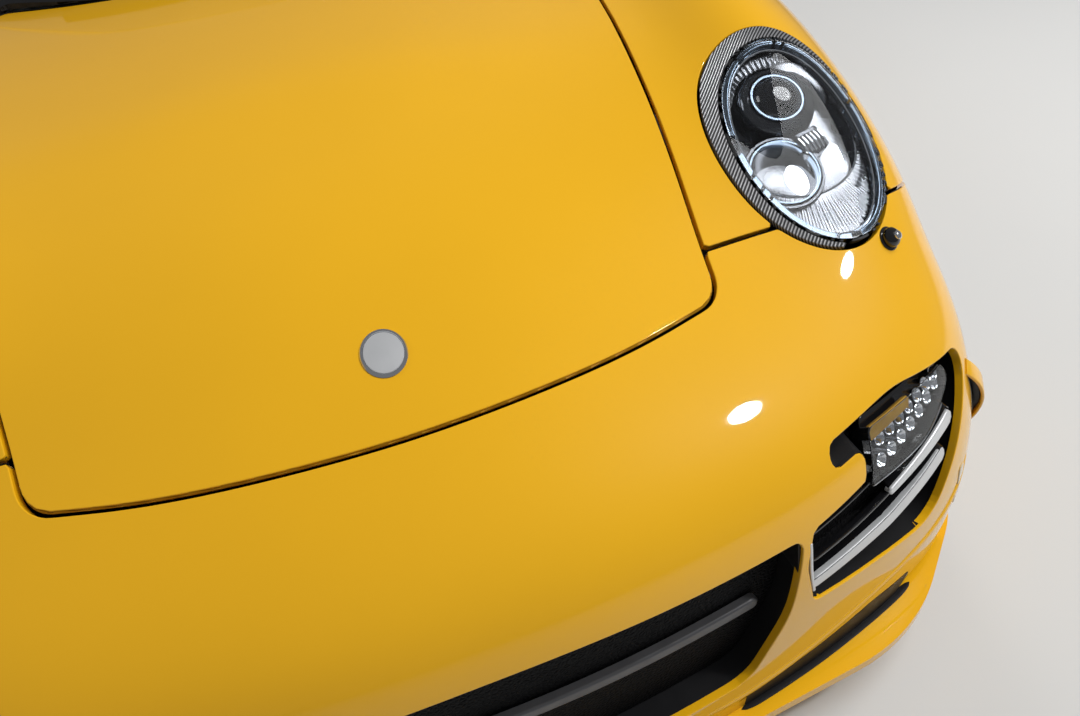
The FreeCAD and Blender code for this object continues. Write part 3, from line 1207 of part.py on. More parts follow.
def all_nodes():
    """Every piece by its name, each made once and the right side's mirrored."""
    left_door = door()
    left_wing = front_wing()
    left_glass = door_glass(left_door)
    left_mirror = main_solid(mirror_left().cut(left_door).cut(left_glass))
    lamp = headlamp_body()
    lens = headlamp_lens()
    front_rim = rim(FRONT_TRACK / 2, FRONT_RIM_W, FRONT_AXLE_Y, FRONT_TYRE_R, 0.0)
    rear_rim = rim(REAR_TRACK / 2, REAR_RIM_W, REAR_AXLE_Y, REAR_TYRE_R, REAR_SHIFT)
    front_tyre = tyre(FRONT_TYRE_R, FRONT_TYRE_W, FRONT_TRACK / 2, FRONT_AXLE_Y)
    rear_tyre = tyre(REAR_TYRE_R, REAR_TYRE_W, REAR_TRACK / 2, REAR_AXLE_Y)
    left_knuckle = knuckle()
    nodes = {
        "body_shell": body_shell(),
        "floor_pan": floor_pan(),
        "front_bumper": front_bumper(),
        "front_lip": front_lip(),
        "intake_grilles": intake_grilles(),
        "duct_blades": duct_blades(),
        "signal_lamps": signal_lamps(),
        "headlamp_bodies": both_sides(lamp),
        "headlamp_lenses": both_sides(lens),
        "bonnet_lid": bonnet_lid(),
        "windscreen": windscreen(),
        "rear_glass": rear_glass(),
        "quarter_glass": quarter_glass(),
        "rear_bumper": rear_bumper(),
        "tail_lamps": tail_lamps(),
        "engine_lid": tail_lid(),
        "rear_wing": rear_wing(),
        "arch_liners": arch_liners(),
        "front_suspension": front_suspension(),
        "rear_suspension": rear_suspension(),
        "engine_block": engine_block(),
        "exhaust": exhaust(),
        "radiators": radiators(),
        "seats": seats(),
        "dashboard": dashboard(),
        "steering_wheel": steering_wheel(),
        "wipers": wipers(),
    }
    pairs = {"front_wing": left_wing, "door": left_door, "door_glass": left_glass,
             "mirror": left_mirror, "knuckle": left_knuckle, "front_rim": front_rim,
             "front_tyre": front_tyre, "rear_rim": rear_rim, "rear_tyre": rear_tyre}
    for name, left in pairs.items():
        nodes[name + "_l"] = left
        nodes[name + "_r"] = mirrored(left)
    return nodes


if __name__ == "__main__":
    os.makedirs("parts", exist_ok=True)
    for name, shape in all_nodes().items():
        shape.exportStep("parts/" + name + ".step")
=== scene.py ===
"""A rear-engined sports coupe, dressed over its solid model.

Shapes are worked out in millimetres and become metres when a mesh is made. +Z is up, the nose
points to -Y and the car's left side to +X. The body and the cabin are two cubic spline skins;
each panel is a piece of such a skin, trimmed where a signed distance to its outline is zero.
"""
import math

import bpy
import bmesh
import numpy as np
from mathutils import Matrix, Vector
from mathutils.bvhtree import BVHTree


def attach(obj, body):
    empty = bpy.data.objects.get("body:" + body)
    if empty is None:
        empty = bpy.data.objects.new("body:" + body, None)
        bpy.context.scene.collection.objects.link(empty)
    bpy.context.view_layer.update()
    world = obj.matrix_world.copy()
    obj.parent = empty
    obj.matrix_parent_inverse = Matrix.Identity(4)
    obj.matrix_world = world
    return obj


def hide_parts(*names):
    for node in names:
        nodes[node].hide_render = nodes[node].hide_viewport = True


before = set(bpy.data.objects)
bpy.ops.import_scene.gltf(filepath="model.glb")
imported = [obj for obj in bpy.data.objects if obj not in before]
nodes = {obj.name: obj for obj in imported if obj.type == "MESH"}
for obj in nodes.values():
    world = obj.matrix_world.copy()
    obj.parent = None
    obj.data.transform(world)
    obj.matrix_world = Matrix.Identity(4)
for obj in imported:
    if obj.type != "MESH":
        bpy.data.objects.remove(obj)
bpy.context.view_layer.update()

# Named sizes, in millimetres and degrees: axles, gaps, edges, seams and where panels end
FRONT_AXLE = np.array([0.0, -1275.0, 323.5])
REAR_AXLE = np.array([0.0, 1075.0, 333.0])
FRONT_ARCH_R = 364.0
REAR_ARCH_R = 366.0
SEAM_GAP = 5.0
DOOR_GAP = 7.5
LID_GAP = 6.0
GLASS_GAP = 6.0
EDGE_R = 1.6
HEM = 11.0
NOSE_SEAM_DEG = 28.5
TAIL_SEAM_DEG = 150.0
DOOR_FRONT_Y = -712.0
DOOR_REAR_Y = 395.0
SILL_BOTTOM_Z = 150.0
SILL_TOP_Z = 300.0
NOSE_BOTTOM_Z = 128.0
TAIL_BOTTOM_Z = 190.0
TAIL_LAMP_FRONT_Y = 1800.0
COWL_REACH_Y = -930.0
CABIN_LAP = 16.0
SHELL_REACH = 1700.0
TAIL_FACE_Y = 1635.0
EXHAUST_TIP = (470.0, 2182.0, 250.0)
TIP_SLOT_R = 54.0
TIP_SLOT_FRONT_Y = 1950.0
FLOOR_TOP_Z = 166.0
RIM_R = 241.0
FRONT_TYRE_R = 323.5
REAR_TYRE_R = 333.0

# How far out the left side begins, for outlines seen from the side
DOOR_SKIN_X = 730.0
DOOR_GAP_X = 726.0
CORNER_SIDE_X = 600.0
HANDLE_SIDE_X = 500.0
WING_INNER_X = 430.0
WINDOW_SIDE_X = 400.0
QUARTER_SIDE_X = 300.0
# How far back the nose reaches, for outlines seen from ahead
NOSE_REAR_Y = -1600.0
# The room that a door's front edge swings into: inner x, rearmost y, highest z
DOOR_SWING = (714.0, -616.0, 865.0)
# The strip under a door's window: x from and to, foremost y, highest z
DOOR_RAIL = (712.0, 735.0, -592.0, 892.0)
# The cabin's lined room: half width, foremost and rearmost y, lowest z, and its roof, which
# falls off with the square of the distance from its highest y
CABIN_ROOM = (700.0, -770.0, 1330.0, 830.0)
CABIN_ROOF_Z = 1400.0
CABIN_ROOF_Y = 250.0
CABIN_ROOF_BEND = 0.00034

# Panes: depth of the outer face, its edge's radius, thickness
PANE_FACE = -1.0
PANE_EDGE = 1.0
PANE_THICK = 5.0
# Grille meshes: depth and thickness
MESH_FACE = -43.5
MESH_THICK = 3.4

# A row of the body's net is a half section of nine points: from the centreline (c, c2) past the
# lid's edge (b), the valley (v), the wing's crown (k), the shoulder (t) and the waist (w) to the
# lower side (l) and its end (e). Rows of the nose fan round the front axle: the angle above the
# forward level, then each point's distance from the axle.
NOSE_ROWS = [
    (-38, 1150, 1146, 1112, 1068, 1010, 905, 700, 450, 150),
    (-24, 1020, 1016, 984, 945, 893, 800, 628, 415, 150),
    (-13, 955, 952, 922, 888, 850, 782, 622, 404, 150),
    (-4, 940, 937, 908, 874, 834, 766, 602, 396, 150),
    (4, 945, 941, 906, 866, 820, 744, 576, 386, 150),
    (12, 928, 922, 876, 824, 774, 702, 548, 374, 150),
    (20, 815, 808, 742, 706, 690, 640, 508, 362, 150),
    (28, 712, 706, 640, 628, 652, 614, 486, 350, 150),
    (38, 625, 620, 586, 588, 622, 582, 456, 342, 150),
    (50, 553, 549, 532, 556, 600, 552, 428, 326, 150),
    (64, 503, 501, 490, 520, 570, 518, 406, 319, 150),
    (78, 494, 492, 476, 498, 546, 502, 402, 324, 150),
    (90, 498, 496, 476, 492, 534, 497, 409, 332, 150),
]
# Half widths of the nine points at three of the nose's angles
NOSE_X = {0: [0, 170, 400, 540, 675, 800, 872, 884, 884],
          52: [0, 182, 470, 570, 662, 768, 854, 884, 884],
          90: [0, 190, 520, 598, 682, 785, 868, 892, 884]}
# Rows of the middle: y, the heights of c and b to e, and the half widths of b to e
SIDE_ROWS = [
    (-1110, 836, 820, 830, 862, 836, 700, 500, 330, 535, 612, 700, 808, 884, 892, 880),
    (-930, 852, 836, 842, 866, 832, 676, 430, 210, 552, 630, 712, 816, 886, 890, 868),
    (-740, 862, 850, 854, 868, 826, 662, 405, 160, 568, 648, 730, 822, 886, 884, 856),
    (-450, 862, 854, 858, 870, 822, 655, 395, 150, 570, 655, 742, 826, 885, 880, 850),
    (-120, 862, 858, 862, 874, 824, 652, 392, 150, 570, 655, 744, 827, 885, 878, 848),
    (200, 866, 864, 868, 880, 830, 658, 395, 150, 568, 652, 740, 830, 890, 882, 850),
    (470, 872, 872, 878, 892, 850, 680, 410, 152, 560, 640, 730, 842, 906, 900, 862),
    (690, 880, 884, 892, 910, 876, 715, 440, 170, 545, 622, 716, 858, 928, 926, 888),
    (890, 890, 896, 905, 922, 892, 745, 490, 260, 525, 605, 712, 866, 938, 938, 912),
]
# Rows of the tail fan round the rear axle in the same way
TAIL_ROWS = [
    (90, 566, 566, 566, 572, 594, 566, 444, 335, 150),
    (104, 602, 601, 598, 598, 606, 570, 452, 338, 150),
    (118, 682, 680, 668, 652, 636, 590, 468, 345, 150),
    (130, 772, 768, 746, 718, 688, 626, 492, 352, 150),
    (142, 872, 867, 842, 806, 758, 680, 524, 362, 150),
    (151, 985, 980, 950, 908, 846, 746, 560, 372, 150),
    (160, 1062, 1056, 1026, 980, 908, 792, 592, 386, 150),
    (170, 1140, 1134, 1102, 1052, 972, 845, 625, 400, 150),
    (180, 1162, 1156, 1122, 1072, 990, 862, 640, 408, 150),
    (190, 1160, 1154, 1120, 1070, 990, 862, 640, 408, 150),
    (201, 1195, 1190, 1150, 1098, 1015, 882, 655, 415, 150),
    (214, 1300, 1294, 1250, 1190, 1090, 945, 700, 440, 150),
]
TAIL_X = {90: [0, 190, 500, 592, 718, 868, 940, 940, 925],
          180: [0, 190, 440, 575, 705, 818, 900, 926, 920]}
# Rows of the cabin: y and z on the centreline, y, x and z of the roof's rail and of the foot
CABIN_ROWS = [
    (-905, 780, -800, 560, 770, -655, 740, 770),
    (-850, 820, -745, 568, 808, -600, 742, 800),
    (-770, 872, -655, 575, 858, -530, 742, 836),
    (-600, 966, -480, 590, 944, -400, 744, 850),
    (-400, 1074, -295, 588, 1046, -250, 746, 852),
    (-215, 1176, -140, 575, 1138, -110, 748, 854),
    (-60, 1250, -10, 560, 1200, 0, 748, 858),
    (90, 1298, 110, 554, 1238, 110, 747, 860),
    (330, 1304, 330, 548, 1242, 330, 742, 866),
    (580, 1258, 580, 536, 1196, 560, 732, 880),
    (820, 1176, 820, 520, 1122, 790, 712, 892),
    (1040, 1088, 1040, 504, 1044, 1010, 678, 896),
    (1240, 1006, 1240, 488, 970, 1200, 630, 890),
    (1420, 930, 1420, 470, 900, 1370, 575, 868),
    (1560, 860, 1560, 455, 830, 1500, 530, 820),
]

# Outlines as corners with radii, the same as the solid model's: of panels, openings and panes
LID_HALF = [(0, -930, 1042), (552, -654, 20), (552, -1098, 2500), (422, -1908, 55),
            (0, -2056, 1055)]
TAIL_LID_HALF = [(0, 1428, 0), (470, 1428, 30), (520, 1640, 300), (470, 1935, 60),
                 (0, 2010, 1400)]
WINDSCREEN_HALF = [(0, -775, 900), (625, -622, 60), (490, -196, 60), (0, -150, 1800)]
REAR_GLASS_HALF = [(0, 655, 1800), (430, 640, 60), (470, 1290, 60), (0, 1340, 1800)]
INTAKE_HALF = [(0, 442, 2400), (404, 416, 16), (384, 290, 200), (330, 178, 50), (0, 168, 0)]
DUCT = [(424, 288, 16), (408, 368, 60), (420, 418, 12), (514, 428, 8), (522, 464, 14),
        (466, 464, 12), (466, 489, 12), (600, 488, 300), (770, 455, 30), (722, 376, 200),
        (656, 260, 56)]
TAIL_LAMP = [(532, 742, 20), (532, 800, 16), (1000, 812, 0), (1000, 716, 0)]
TAIL_VENT = [(560, 470, 16), (700, 480, 16), (690, 330, 16), (580, 320, 16)]
DOOR = [(DOOR_FRONT_Y, SILL_TOP_Z, 45), (DOOR_REAR_Y - 70, SILL_TOP_Z, 110),
        (DOOR_REAR_Y, 560, 160), (DOOR_REAR_Y, 1400, 0), (DOOR_FRONT_Y, 1400, 0)]
DOOR_WINDOW = [(-596, 866, 20), (-36, 1196, 150), (332, 1188, 40), (306, 866, 12)]
QUARTER_WINDOW = [(352, 884, 30), (366, 1176, 40), (690, 1082, 190), (880, 930, 60)]
BELOW_CABIN = [(-1300, 500, 0), (-1300, 856, 0), (-600, 858, 0), (300, 862, 0), (600, 874, 0),
               (900, 890, 0), (1150, 905, 0), (1300, 915, 0), (1424, 905, 0), (1424, 1300, 0),
               (1900, 1300, 0), (1900, 500, 0)]
CABIN_FOOT_HALF = [(0, -800, 900), (735, -600, 120), (742, 560, 600), (640, 1190, 300),
                   (450, 1408, 60), (0, 1408, 0)]
# The left head lamp: its centre and axis, and half sizes of its hole and lens
LAMP_CENTRE = np.array([638.0, -1723.0, 694.0])
LAMP_AXIS = np.array([-0.031, -0.539, 0.842])
LAMP_AXIS = LAMP_AXIS / np.linalg.norm(LAMP_AXIS)
LAMP_LONG = 187.0
LAMP_WIDE = 119.0
LAMP_GAP = 3.0
LENS_LONG = 167.0
LENS_WIDE = 104.0
LENS_SHIFT = (12.0, 9.0)
# Ranges of u and v on the body's net: its tail, and round the duct, intake and signal lamp
TAIL_PATCH = ((21.0, 31.0), (0.0, 14.0))
DUCT_PATCH = ((1.7, 4.8), (8.9, 12.2))
INTAKE_PATCH = ((1.2, 3.6), (4.8, 9.2))
SIGNAL_PATCH = ((3.0, 4.1), (9.7, 11.6))


# Curves, skins and trims

def symmetric(half):
    """Corners from the centreline round the left side, completed on the right."""
    return half + [(-a, b, r) for a, b, r in reversed(half) if a > 0]


def outline(corners):
    """The outline's points: each corner is replaced by an arc that touches both its runs.

    The arc's centre lies on the corner's bisector at radius / sin(half the corner's angle).
    """
    spots = np.array([c[:2] for c in corners], float)
    points = []
    for here, before, after, corner in zip(spots, np.roll(spots, 1, 0), np.roll(spots, -1, 0),
                                           corners):
        radius = corner[2]
        to_before = (before - here) / np.linalg.norm(before - here)
        to_after = (after - here) / np.linalg.norm(after - here)
        half = math.acos(np.clip(to_before @ to_after, -1, 1)) / 2
        if radius <= 0 or abs(half - math.pi / 2) < 1e-4:
            points.append(here[None])
            continue
        middle = to_before + to_after
        middle /= np.linalg.norm(middle)
        centre = here + middle * radius / math.sin(half)
        sweep = math.pi / 2 - half
        count = max(3, int(sweep / math.acos(1 - 0.03 / max(radius, 1))) + 2)
        turn = np.linspace(-sweep, sweep, count)
        side = np.array([-middle[1], middle[0]])
        if side @ to_before > 0:
            side = -side
        points.append(centre + radius * (-np.cos(turn)[:, None] * middle
                                         + np.sin(turn)[:, None] * side))
    return np.vstack(points)


def reach_inside(spots, loop):
    """Signed distance to a closed line, positive inside: nearest run, and an even-odd count."""
    start, end = loop, np.roll(loop, -1, axis=0)
    run = end - start
    square = np.maximum((run ** 2).sum(1), 1e-12)
    result = np.empty(len(spots))
    for first in range(0, len(spots), 6000):
        p = spots[first:first + 6000, None, :]
        share = np.clip(((p - start) * run).sum(2) / square, 0, 1)
        gap = p - start - share[..., None] * run
        distance = np.sqrt((gap ** 2).sum(2).min(1))
        above = (start[:, 1] > p[..., 1]) != (end[:, 1] > p[..., 1])
        rise = np.where(run[:, 1] == 0, 1e-12, run[:, 1])
        cross = start[:, 0] + (p[..., 1] - start[:, 1]) / rise * run[:, 0]
        inside = (above & (p[..., 0] < cross)).sum(1) % 2 == 1
        result[first:first + 6000] = np.where(inside, distance, -distance)
    return result


PLANES = {"xy": (0, 1), "yz": (1, 2), "xz": (0, 2)}


def within(plane, corners, grow=0.0, near=None):
    """A trim that keeps what lies inside an outline, grown by a distance."""
    loop = outline(corners)
    pick = list(PLANES[plane])

    def trim(points):
        spots = points[:, pick]
        low, high = loop.min(0) - 60 - abs(grow), loop.max(0) + 60 + abs(grow)
        close = ((spots > low) & (spots < high)).all(1)
        result = np.full(len(points), -50.0)
        if close.any():
            result[close] = reach_inside(spots[close], loop) + grow
        if near is not None:
            result = np.where(near(points), result, -50.0)
        return result
    return trim


def beyond(plane, corners, gap=0.0, near=None):
    """A trim that keeps what lies outside an outline by at least a gap."""
    keep = within(plane, corners, gap, near)
    return lambda points: -keep(points)


def mirrored_trim(trim):
    """The same trim on both sides of the car."""
    return lambda points: trim(points * np.where(points[:, :1] < 0, -1.0, 1.0) ** [1, 0, 0])


def off_axle(axle, radius):
    """Keeps what lies further than a radius from an axle's line."""
    return lambda points: np.hypot(points[:, 1] - axle[1], points[:, 2] - axle[2]) - radius


def fan_side(axle, degrees, sense, gap):
    """Keeps one side of a plane through an axle that rises at an angle, less half a gap."""
    angle = math.radians(degrees)
    normal = np.array([0.0, math.sin(angle), math.cos(angle)])
    return lambda points: sense * ((points - axle) @ normal) - gap / 2


def lamp_axes():
    """Unit directions in the left lamp's face: down its slope, and out from the car's middle."""
    down = np.array([0.0, -1.0, 0.0])
    down = down - LAMP_AXIS * (LAMP_AXIS @ down)
    down /= np.linalg.norm(down)
    return down, np.cross(LAMP_AXIS, down)


LAMP_DOWN, LAMP_ACROSS = lamp_axes()


def lamp_ellipse(long, wide, shift=(0.0, 0.0), sense=1.0):
    """Distance to an ellipse in the left lamp's face, measured along the ray from its centre."""
    def trim(points):
        a = (points - LAMP_CENTRE) @ LAMP_DOWN - shift[0]
        b = (points - LAMP_CENTRE) @ LAMP_ACROSS - shift[1]
        share = np.maximum(np.sqrt((a / long) ** 2 + (b / wide) ** 2), 1e-3)
        value = np.hypot(a, b) * (1 / share - 1)
        value = np.where(share < 1, np.maximum(value, 1e-3), value)
        return sense * value
    return trim


def spline_weights(t, count):
    """Values and slopes of the cubic B-spline functions on clamped whole-number knots.

    Each function of order k blends two of order k - 1 by the shares of its span on each side.
    """
    spans = count - 3
    knots = np.concatenate([np.zeros(3), np.arange(spans + 1.0), np.full(3, float(spans))])
    t = np.clip(t, 0, spans - 1e-9)[:, None]
    value = ((t >= knots[:-1]) & (t < knots[1:])).astype(float)
    slope = None
    for k in (1, 2, 3):
        width = knots[k:] - knots[:-k]
        share = np.divide(1.0, width, out=np.zeros_like(width), where=width > 0)
        if k == 3:
            slope = 3 * (value[:, :-1] * share[:-1] - value[:, 1:] * share[1:])
        value = ((t - knots[:-k - 1]) * share[:-1] * value[:, :-1]
                 + (knots[k + 1:] - t) * share[1:] * value[:, 1:])
    return value, slope


class Skin:
    """A cubic spline sheet over a net of points, with the sheets parallel to it."""

    def __init__(self, half_rows):
        half = np.array(half_rows, float)
        right = half[:, :0:-1] * [-1, 1, 1]
        self.net = np.concatenate([right, half], axis=1)
        rows, columns = self.net.shape[:2]
        i, j = np.arange(rows), np.arange(columns)
        along = self.net[np.minimum(i + 1, rows - 1)] - self.net[np.maximum(i - 1, 0)]
        across = (self.net[:, np.minimum(j + 1, columns - 1)]
                  - self.net[:, np.maximum(j - 1, 0)])
        out = np.cross(across, along)
        self.out = out / np.linalg.norm(out, axis=2, keepdims=True)
        self.ends = (rows - 3.0, columns - 3.0)

    def at(self, u, v, depth=0.0):
        """Points of the sheet moved out by a depth, and the sheet's unit normals there."""
        wu, su = spline_weights(u, self.net.shape[0])
        wv, sv = spline_weights(v, self.net.shape[1])
        flat = self.net.reshape(self.net.shape[0], -1)
        lines = (wu @ flat).reshape(len(u), -1, 3)
        slopes = (su @ flat).reshape(len(u), -1, 3)
        point = (lines * wv[..., None]).sum(1)
        normal = np.cross((lines * sv[..., None]).sum(1), (slopes * wv[..., None]).sum(1))
        normal /= np.linalg.norm(normal, axis=1, keepdims=True)
        if np.any(depth):
            out = (wu @ self.out.reshape(len(flat), -1)).reshape(len(u), -1, 3)
            point = point + np.reshape(depth, (-1, 1)) * (out * wv[..., None]).sum(1)
        return point, normal


def fan_rows(rows, axle, widths):
    """Half rows that fan round an axle: distances along rays, widths between known angles."""
    table = np.array(rows, float)
    angle = np.radians(table[:, 0])[:, None]
    wide = np.stack([np.interp(table[:, 0], list(widths), column)
                     for column in zip(*widths.values())], axis=1)
    return np.stack([wide, axle[1] - table[:, 1:] * np.cos(angle),
                     axle[2] + table[:, 1:] * np.sin(angle)], axis=2)


def body_half():
    """The body's half rows: fans round the axles for the nose and the tail, planes between."""
    nose = fan_rows(NOSE_ROWS, FRONT_AXLE, NOSE_X)
    tail = fan_rows(TAIL_ROWS, REAR_AXLE, TAIL_X)
    side = []
    for y, zc, zb, zv, zk, zt, zw, zl, ze, xb, xv, xk, xt, xw, xl, xe in SIDE_ROWS:
        side.append([(0, y, zc), (190, y, zc), (xb, y, zb), (xv, y, zv), (xk, y, zk),
                     (xt, y, zt), (xw, y, zw), (xl, y, zl), (xe, y, ze)])
    return np.concatenate([nose, np.array(side, float), tail])


def cabin_half():
    """The cabin's half rows: nine points mixed by shares from centreline, rail and foot."""
    def mix(a, b, share):
        return a + (b - a) * share

    rows = []
    for yc, zc, yr, xr, zr, yb, xb, zb in CABIN_ROWS:
        drop = zc - zr
        side_z = mix(zr, zb, 0.42)
        rows.append([(0, yc, zc), (xr * 0.42, mix(yc, yr, 0.16), zc - drop * 0.06),
                     (xr * 0.78, mix(yc, yr, 0.58), zc - drop * 0.36),
                     (xr * 1.02, yr, zr + drop * 0.06),
                     (mix(xr, xb, 0.36), mix(yr, yb, 0.3), mix(zr, zb, 0.16)),
                     (mix(xr, xb, 0.72), mix(yr, yb, 0.62), mix(side_z, zb, 0.1)),
                     (xb, yb, mix(zb, zr, 0.12)), (xb + 14, yb, zb - 40)])
    return rows


BODY = Skin(body_half())
CABIN = Skin(cabin_half())


# Meshes

def make_piece(name, points, groups, material, body, flip_side=False):
    """A mesh from points and face groups; each group has corner indices and normals by point."""
    mesh = bpy.data.meshes.new(name)
    corner, sizes, normals = [], [], []
    for index, table in groups:
        if not len(index):
            continue
        if flip_side:
            index = index[:, ::-1]
        corner.append(index.ravel())
        sizes.append(np.full(len(index), index.shape[1]))
        normals.append(table[index].reshape(-1, 3))
    corner, sizes, normals = np.concatenate(corner), np.concatenate(sizes), np.vstack(normals)
    if flip_side:
        points = points * [-1, 1, 1]
        normals = normals * [-1, 1, 1]
    used, corner = np.unique(corner, return_inverse=True)
    points = points[used]
    mesh.vertices.add(len(points))
    mesh.vertices.foreach_set("co", (points * 0.001).ravel())
    mesh.loops.add(len(corner))
    mesh.loops.foreach_set("vertex_index", corner.astype(np.int32))
    mesh.polygons.add(len(sizes))
    starts = np.concatenate([[0], np.cumsum(sizes)[:-1]])
    mesh.polygons.foreach_set("loop_start", starts.astype(np.int32))
    mesh.polygons.foreach_set("use_smooth", np.ones(len(sizes), bool))
    mesh.update(calc_edges=True)
    mesh.normals_split_custom_set(normals.tolist())
    thing = bpy.data.objects.new(name, mesh)
    bpy.context.scene.collection.objects.link(thing)
    mesh.materials.append(material)
    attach(thing, body)
    return thing


def clipped(u, v, field):
    """Grid cells cut along field = 0: kept corners, and points found on the crossed edges.

    Returns the parameters of all points and the polygons, grouped by their number of corners.
    """
    rows, columns = len(u), len(v)
    grid_u, grid_v = (g.ravel() for g in np.meshgrid(u, v, indexing="ij"))
    value = field(grid_u, grid_v)
    keep = (value > 0).reshape(rows, columns)
    number = np.arange(rows * columns).reshape(rows, columns)
    spots = [np.stack([grid_u, grid_v], 1)]
    total = rows * columns
    ids = {}
    for name, a, b in (("v", number[:, :-1], number[:, 1:]), ("u", number[:-1], number[1:])):
        first, last = a.ravel(), b.ravel()
        crossed = keep.ravel()[first] != keep.ravel()[last]
        inner = np.where(keep.ravel()[first], first, last)[crossed]
        outer = np.where(keep.ravel()[first], last, first)[crossed]
        low, high = spots[0][inner].copy(), spots[0][outer].copy()
        for _ in range(11):
            middle = (low + high) / 2
            good = field(middle[:, 0], middle[:, 1]) > 0
            low[good], high[~good] = middle[good], middle[~good]
        spots.append(low)
        table = np.full(first.shape, -1)
        table[crossed] = total + np.arange(crossed.sum())
        total += crossed.sum()
        ids[name] = table.reshape(a.shape)
    corner = [number[:-1, :-1], number[:-1, 1:], number[1:, 1:], number[1:, :-1]]
    edge = [ids["v"][:-1], ids["u"][:, 1:], ids["v"][1:], ids["u"][:, :-1]]
    flags = [keep[:-1, :-1], keep[:-1, 1:], keep[1:, 1:], keep[1:, :-1]]
    mask = sum(flag.astype(int) << k for k, flag in enumerate(flags))
    polygons = {}
    for case in range(1, 16):
        cells = mask == case
        if not cells.any():
            continue
        line = []
        for k in range(4):
            if case >> k & 1:
                line.append(corner[k][cells])
            if (case >> k & 1) != (case >> (k + 1) % 4 & 1):
                line.append(edge[k][cells])
        polygons.setdefault(len(line), []).append(np.stack(line, 1))
    return np.vstack(spots), [np.vstack(p) for p in polygons.values()]


def border(polygons):
    """Directed edges that only one face uses."""
    pairs = np.vstack([np.stack([p, np.roll(p, -1, 1)], 2).reshape(-1, 2) for p in polygons])
    key = np.sort(pairs, 1)
    _, index, count = np.unique(key[:, 0] * 10 ** 7 + key[:, 1], return_index=True,
                                return_counts=True)
    return pairs[index[count == 1]]


def grid_size(skin, u_range, v_range, step):
    """Rows and columns of cells about a step long, by the lengths of a patch's middle lines."""
    middle_u, middle_v = np.full(40, sum(u_range) / 2), np.full(40, sum(v_range) / 2)
    counts = []
    for u, v in ((np.linspace(*u_range, 40), middle_v), (middle_u, np.linspace(*v_range, 40))):
        runs = np.linalg.norm(np.diff(skin.at(u, v)[0], axis=0), axis=1)
        counts.append(max(int(runs.sum() / step) + 2, 8))
    return counts


def rim_of(points, normals, polygons):
    """A mesh's rim: its points, its edges by their numbers in the rim, and directions away.

    Away is the cross product of the run between a point's neighbours and its normal.
    """
    edges = border(polygons)
    follow, lead = np.full(len(points), -1), np.full(len(points), -1)
    follow[edges[:, 0]] = edges[:, 1]
    lead[edges[:, 1]] = edges[:, 0]
    rim = np.flatnonzero((follow >= 0) & (lead >= 0))
    slot = np.full(len(points), -1)
    slot[rim] = np.arange(len(rim))
    edges = slot[edges[(slot[edges] >= 0).all(1)]]
    away = np.cross(points[follow[rim]] - points[lead[rim]], normals[rim])
    away /= np.maximum(np.linalg.norm(away, axis=1, keepdims=True), 1e-9)
    return rim, edges, away


def turned_edge(points, normals, away, radius, wall):
    """Rings of points and normals from a rim: a quarter round, then straight in to a depth.

    At an angle t the ring lies radius * sin t away and radius * (1 - cos t) in.
    """
    rings, tables = [points], [normals]
    for degrees in (30, 60, 90):
        s, c = math.sin(math.radians(degrees)), math.cos(math.radians(degrees))
        rings.append(points + away * radius * s - normals * radius * (1 - c))
        tables.append(normals * c + away * s)
    rings.append(rings[-1] - normals * (wall - radius))
    tables.append(away)
    return rings, tables


def skin_piece(name, skin, u_range, v_range, trims, material, body, step=13.0, face=0.0,
               edge=EDGE_R, hem=HEM, back=None, mirror=False):
    """A trimmed piece of a skin with a rounded edge and a turned-in hem, or a closed pane.

    Its border runs where the least of the trims is zero. From there a quarter round of radius
    edge turns into the hem, and a pane gets a second face at depth back. The ranges bound it on
    the net: u runs back from the nose, and v runs across from right to left. With mirror it
    returns the left and the right piece.
    """
    rows, columns = grid_size(skin, u_range, v_range, step)

    def field(u, v):
        points = skin.at(u, v, face)[0]
        return np.min([trim(points) for trim in trims], axis=0) - edge

    spots, polygons = clipped(np.linspace(*u_range, rows), np.linspace(*v_range, columns), field)
    used = np.unique(np.concatenate([p.ravel() for p in polygons]))
    place = np.full(len(spots), -1)
    place[used] = np.arange(len(used))
    polygons = [place[p] for p in polygons]
    u, v = spots[used].T
    points, normals = skin.at(u, v, face)
    rim, edges, away = rim_of(points, normals, polygons)
    rings, tables = turned_edge(points[rim], normals[rim], away, edge,
                                hem if back is None else back)
    count, total = len(rim), len(points)
    all_points = [points] + rings[1:]
    base = [rim] + [total + k * count + np.arange(count) for k in range(len(rings) - 1)]
    size = total + (len(rings) - 1) * count
    flat = np.zeros((size, 3))
    flat[:total] = normals
    groups = [(p, flat) for p in polygons]
    for k in range(len(rings) - 1):
        table = np.zeros((size + (total if back is not None else 0), 3))
        table[base[k]] = tables[k]
        table[base[k + 1]] = tables[k + 1]
        a, b = edges.T
        groups.append((np.stack([base[k][b], base[k][a], base[k + 1][a], base[k + 1][b]], 1),
                       table))
    if back is not None:
        inner = skin.at(u, v, face - back)[0]
        all_points.append(inner)
        table = np.zeros((size + total, 3))
        table[size:] = -normals
        table[base[-1]] = -normals[rim]
        a, b = edges.T
        groups += [((p + size)[:, ::-1], table) for p in polygons]
        groups.append((np.stack([base[-1][b], base[-1][a], rim[a] + size, rim[b] + size], 1),
                       table))
    all_points = np.vstack(all_points)
    pieces = [make_piece(name, all_points, groups, material, body)]
    if mirror:
        other = body.replace("left", "right")
        pieces.append(make_piece(name[:-1] + "r", all_points, groups, material, other,
                                 flip_side=True))
    return pieces if mirror else pieces[0]


# Finishes

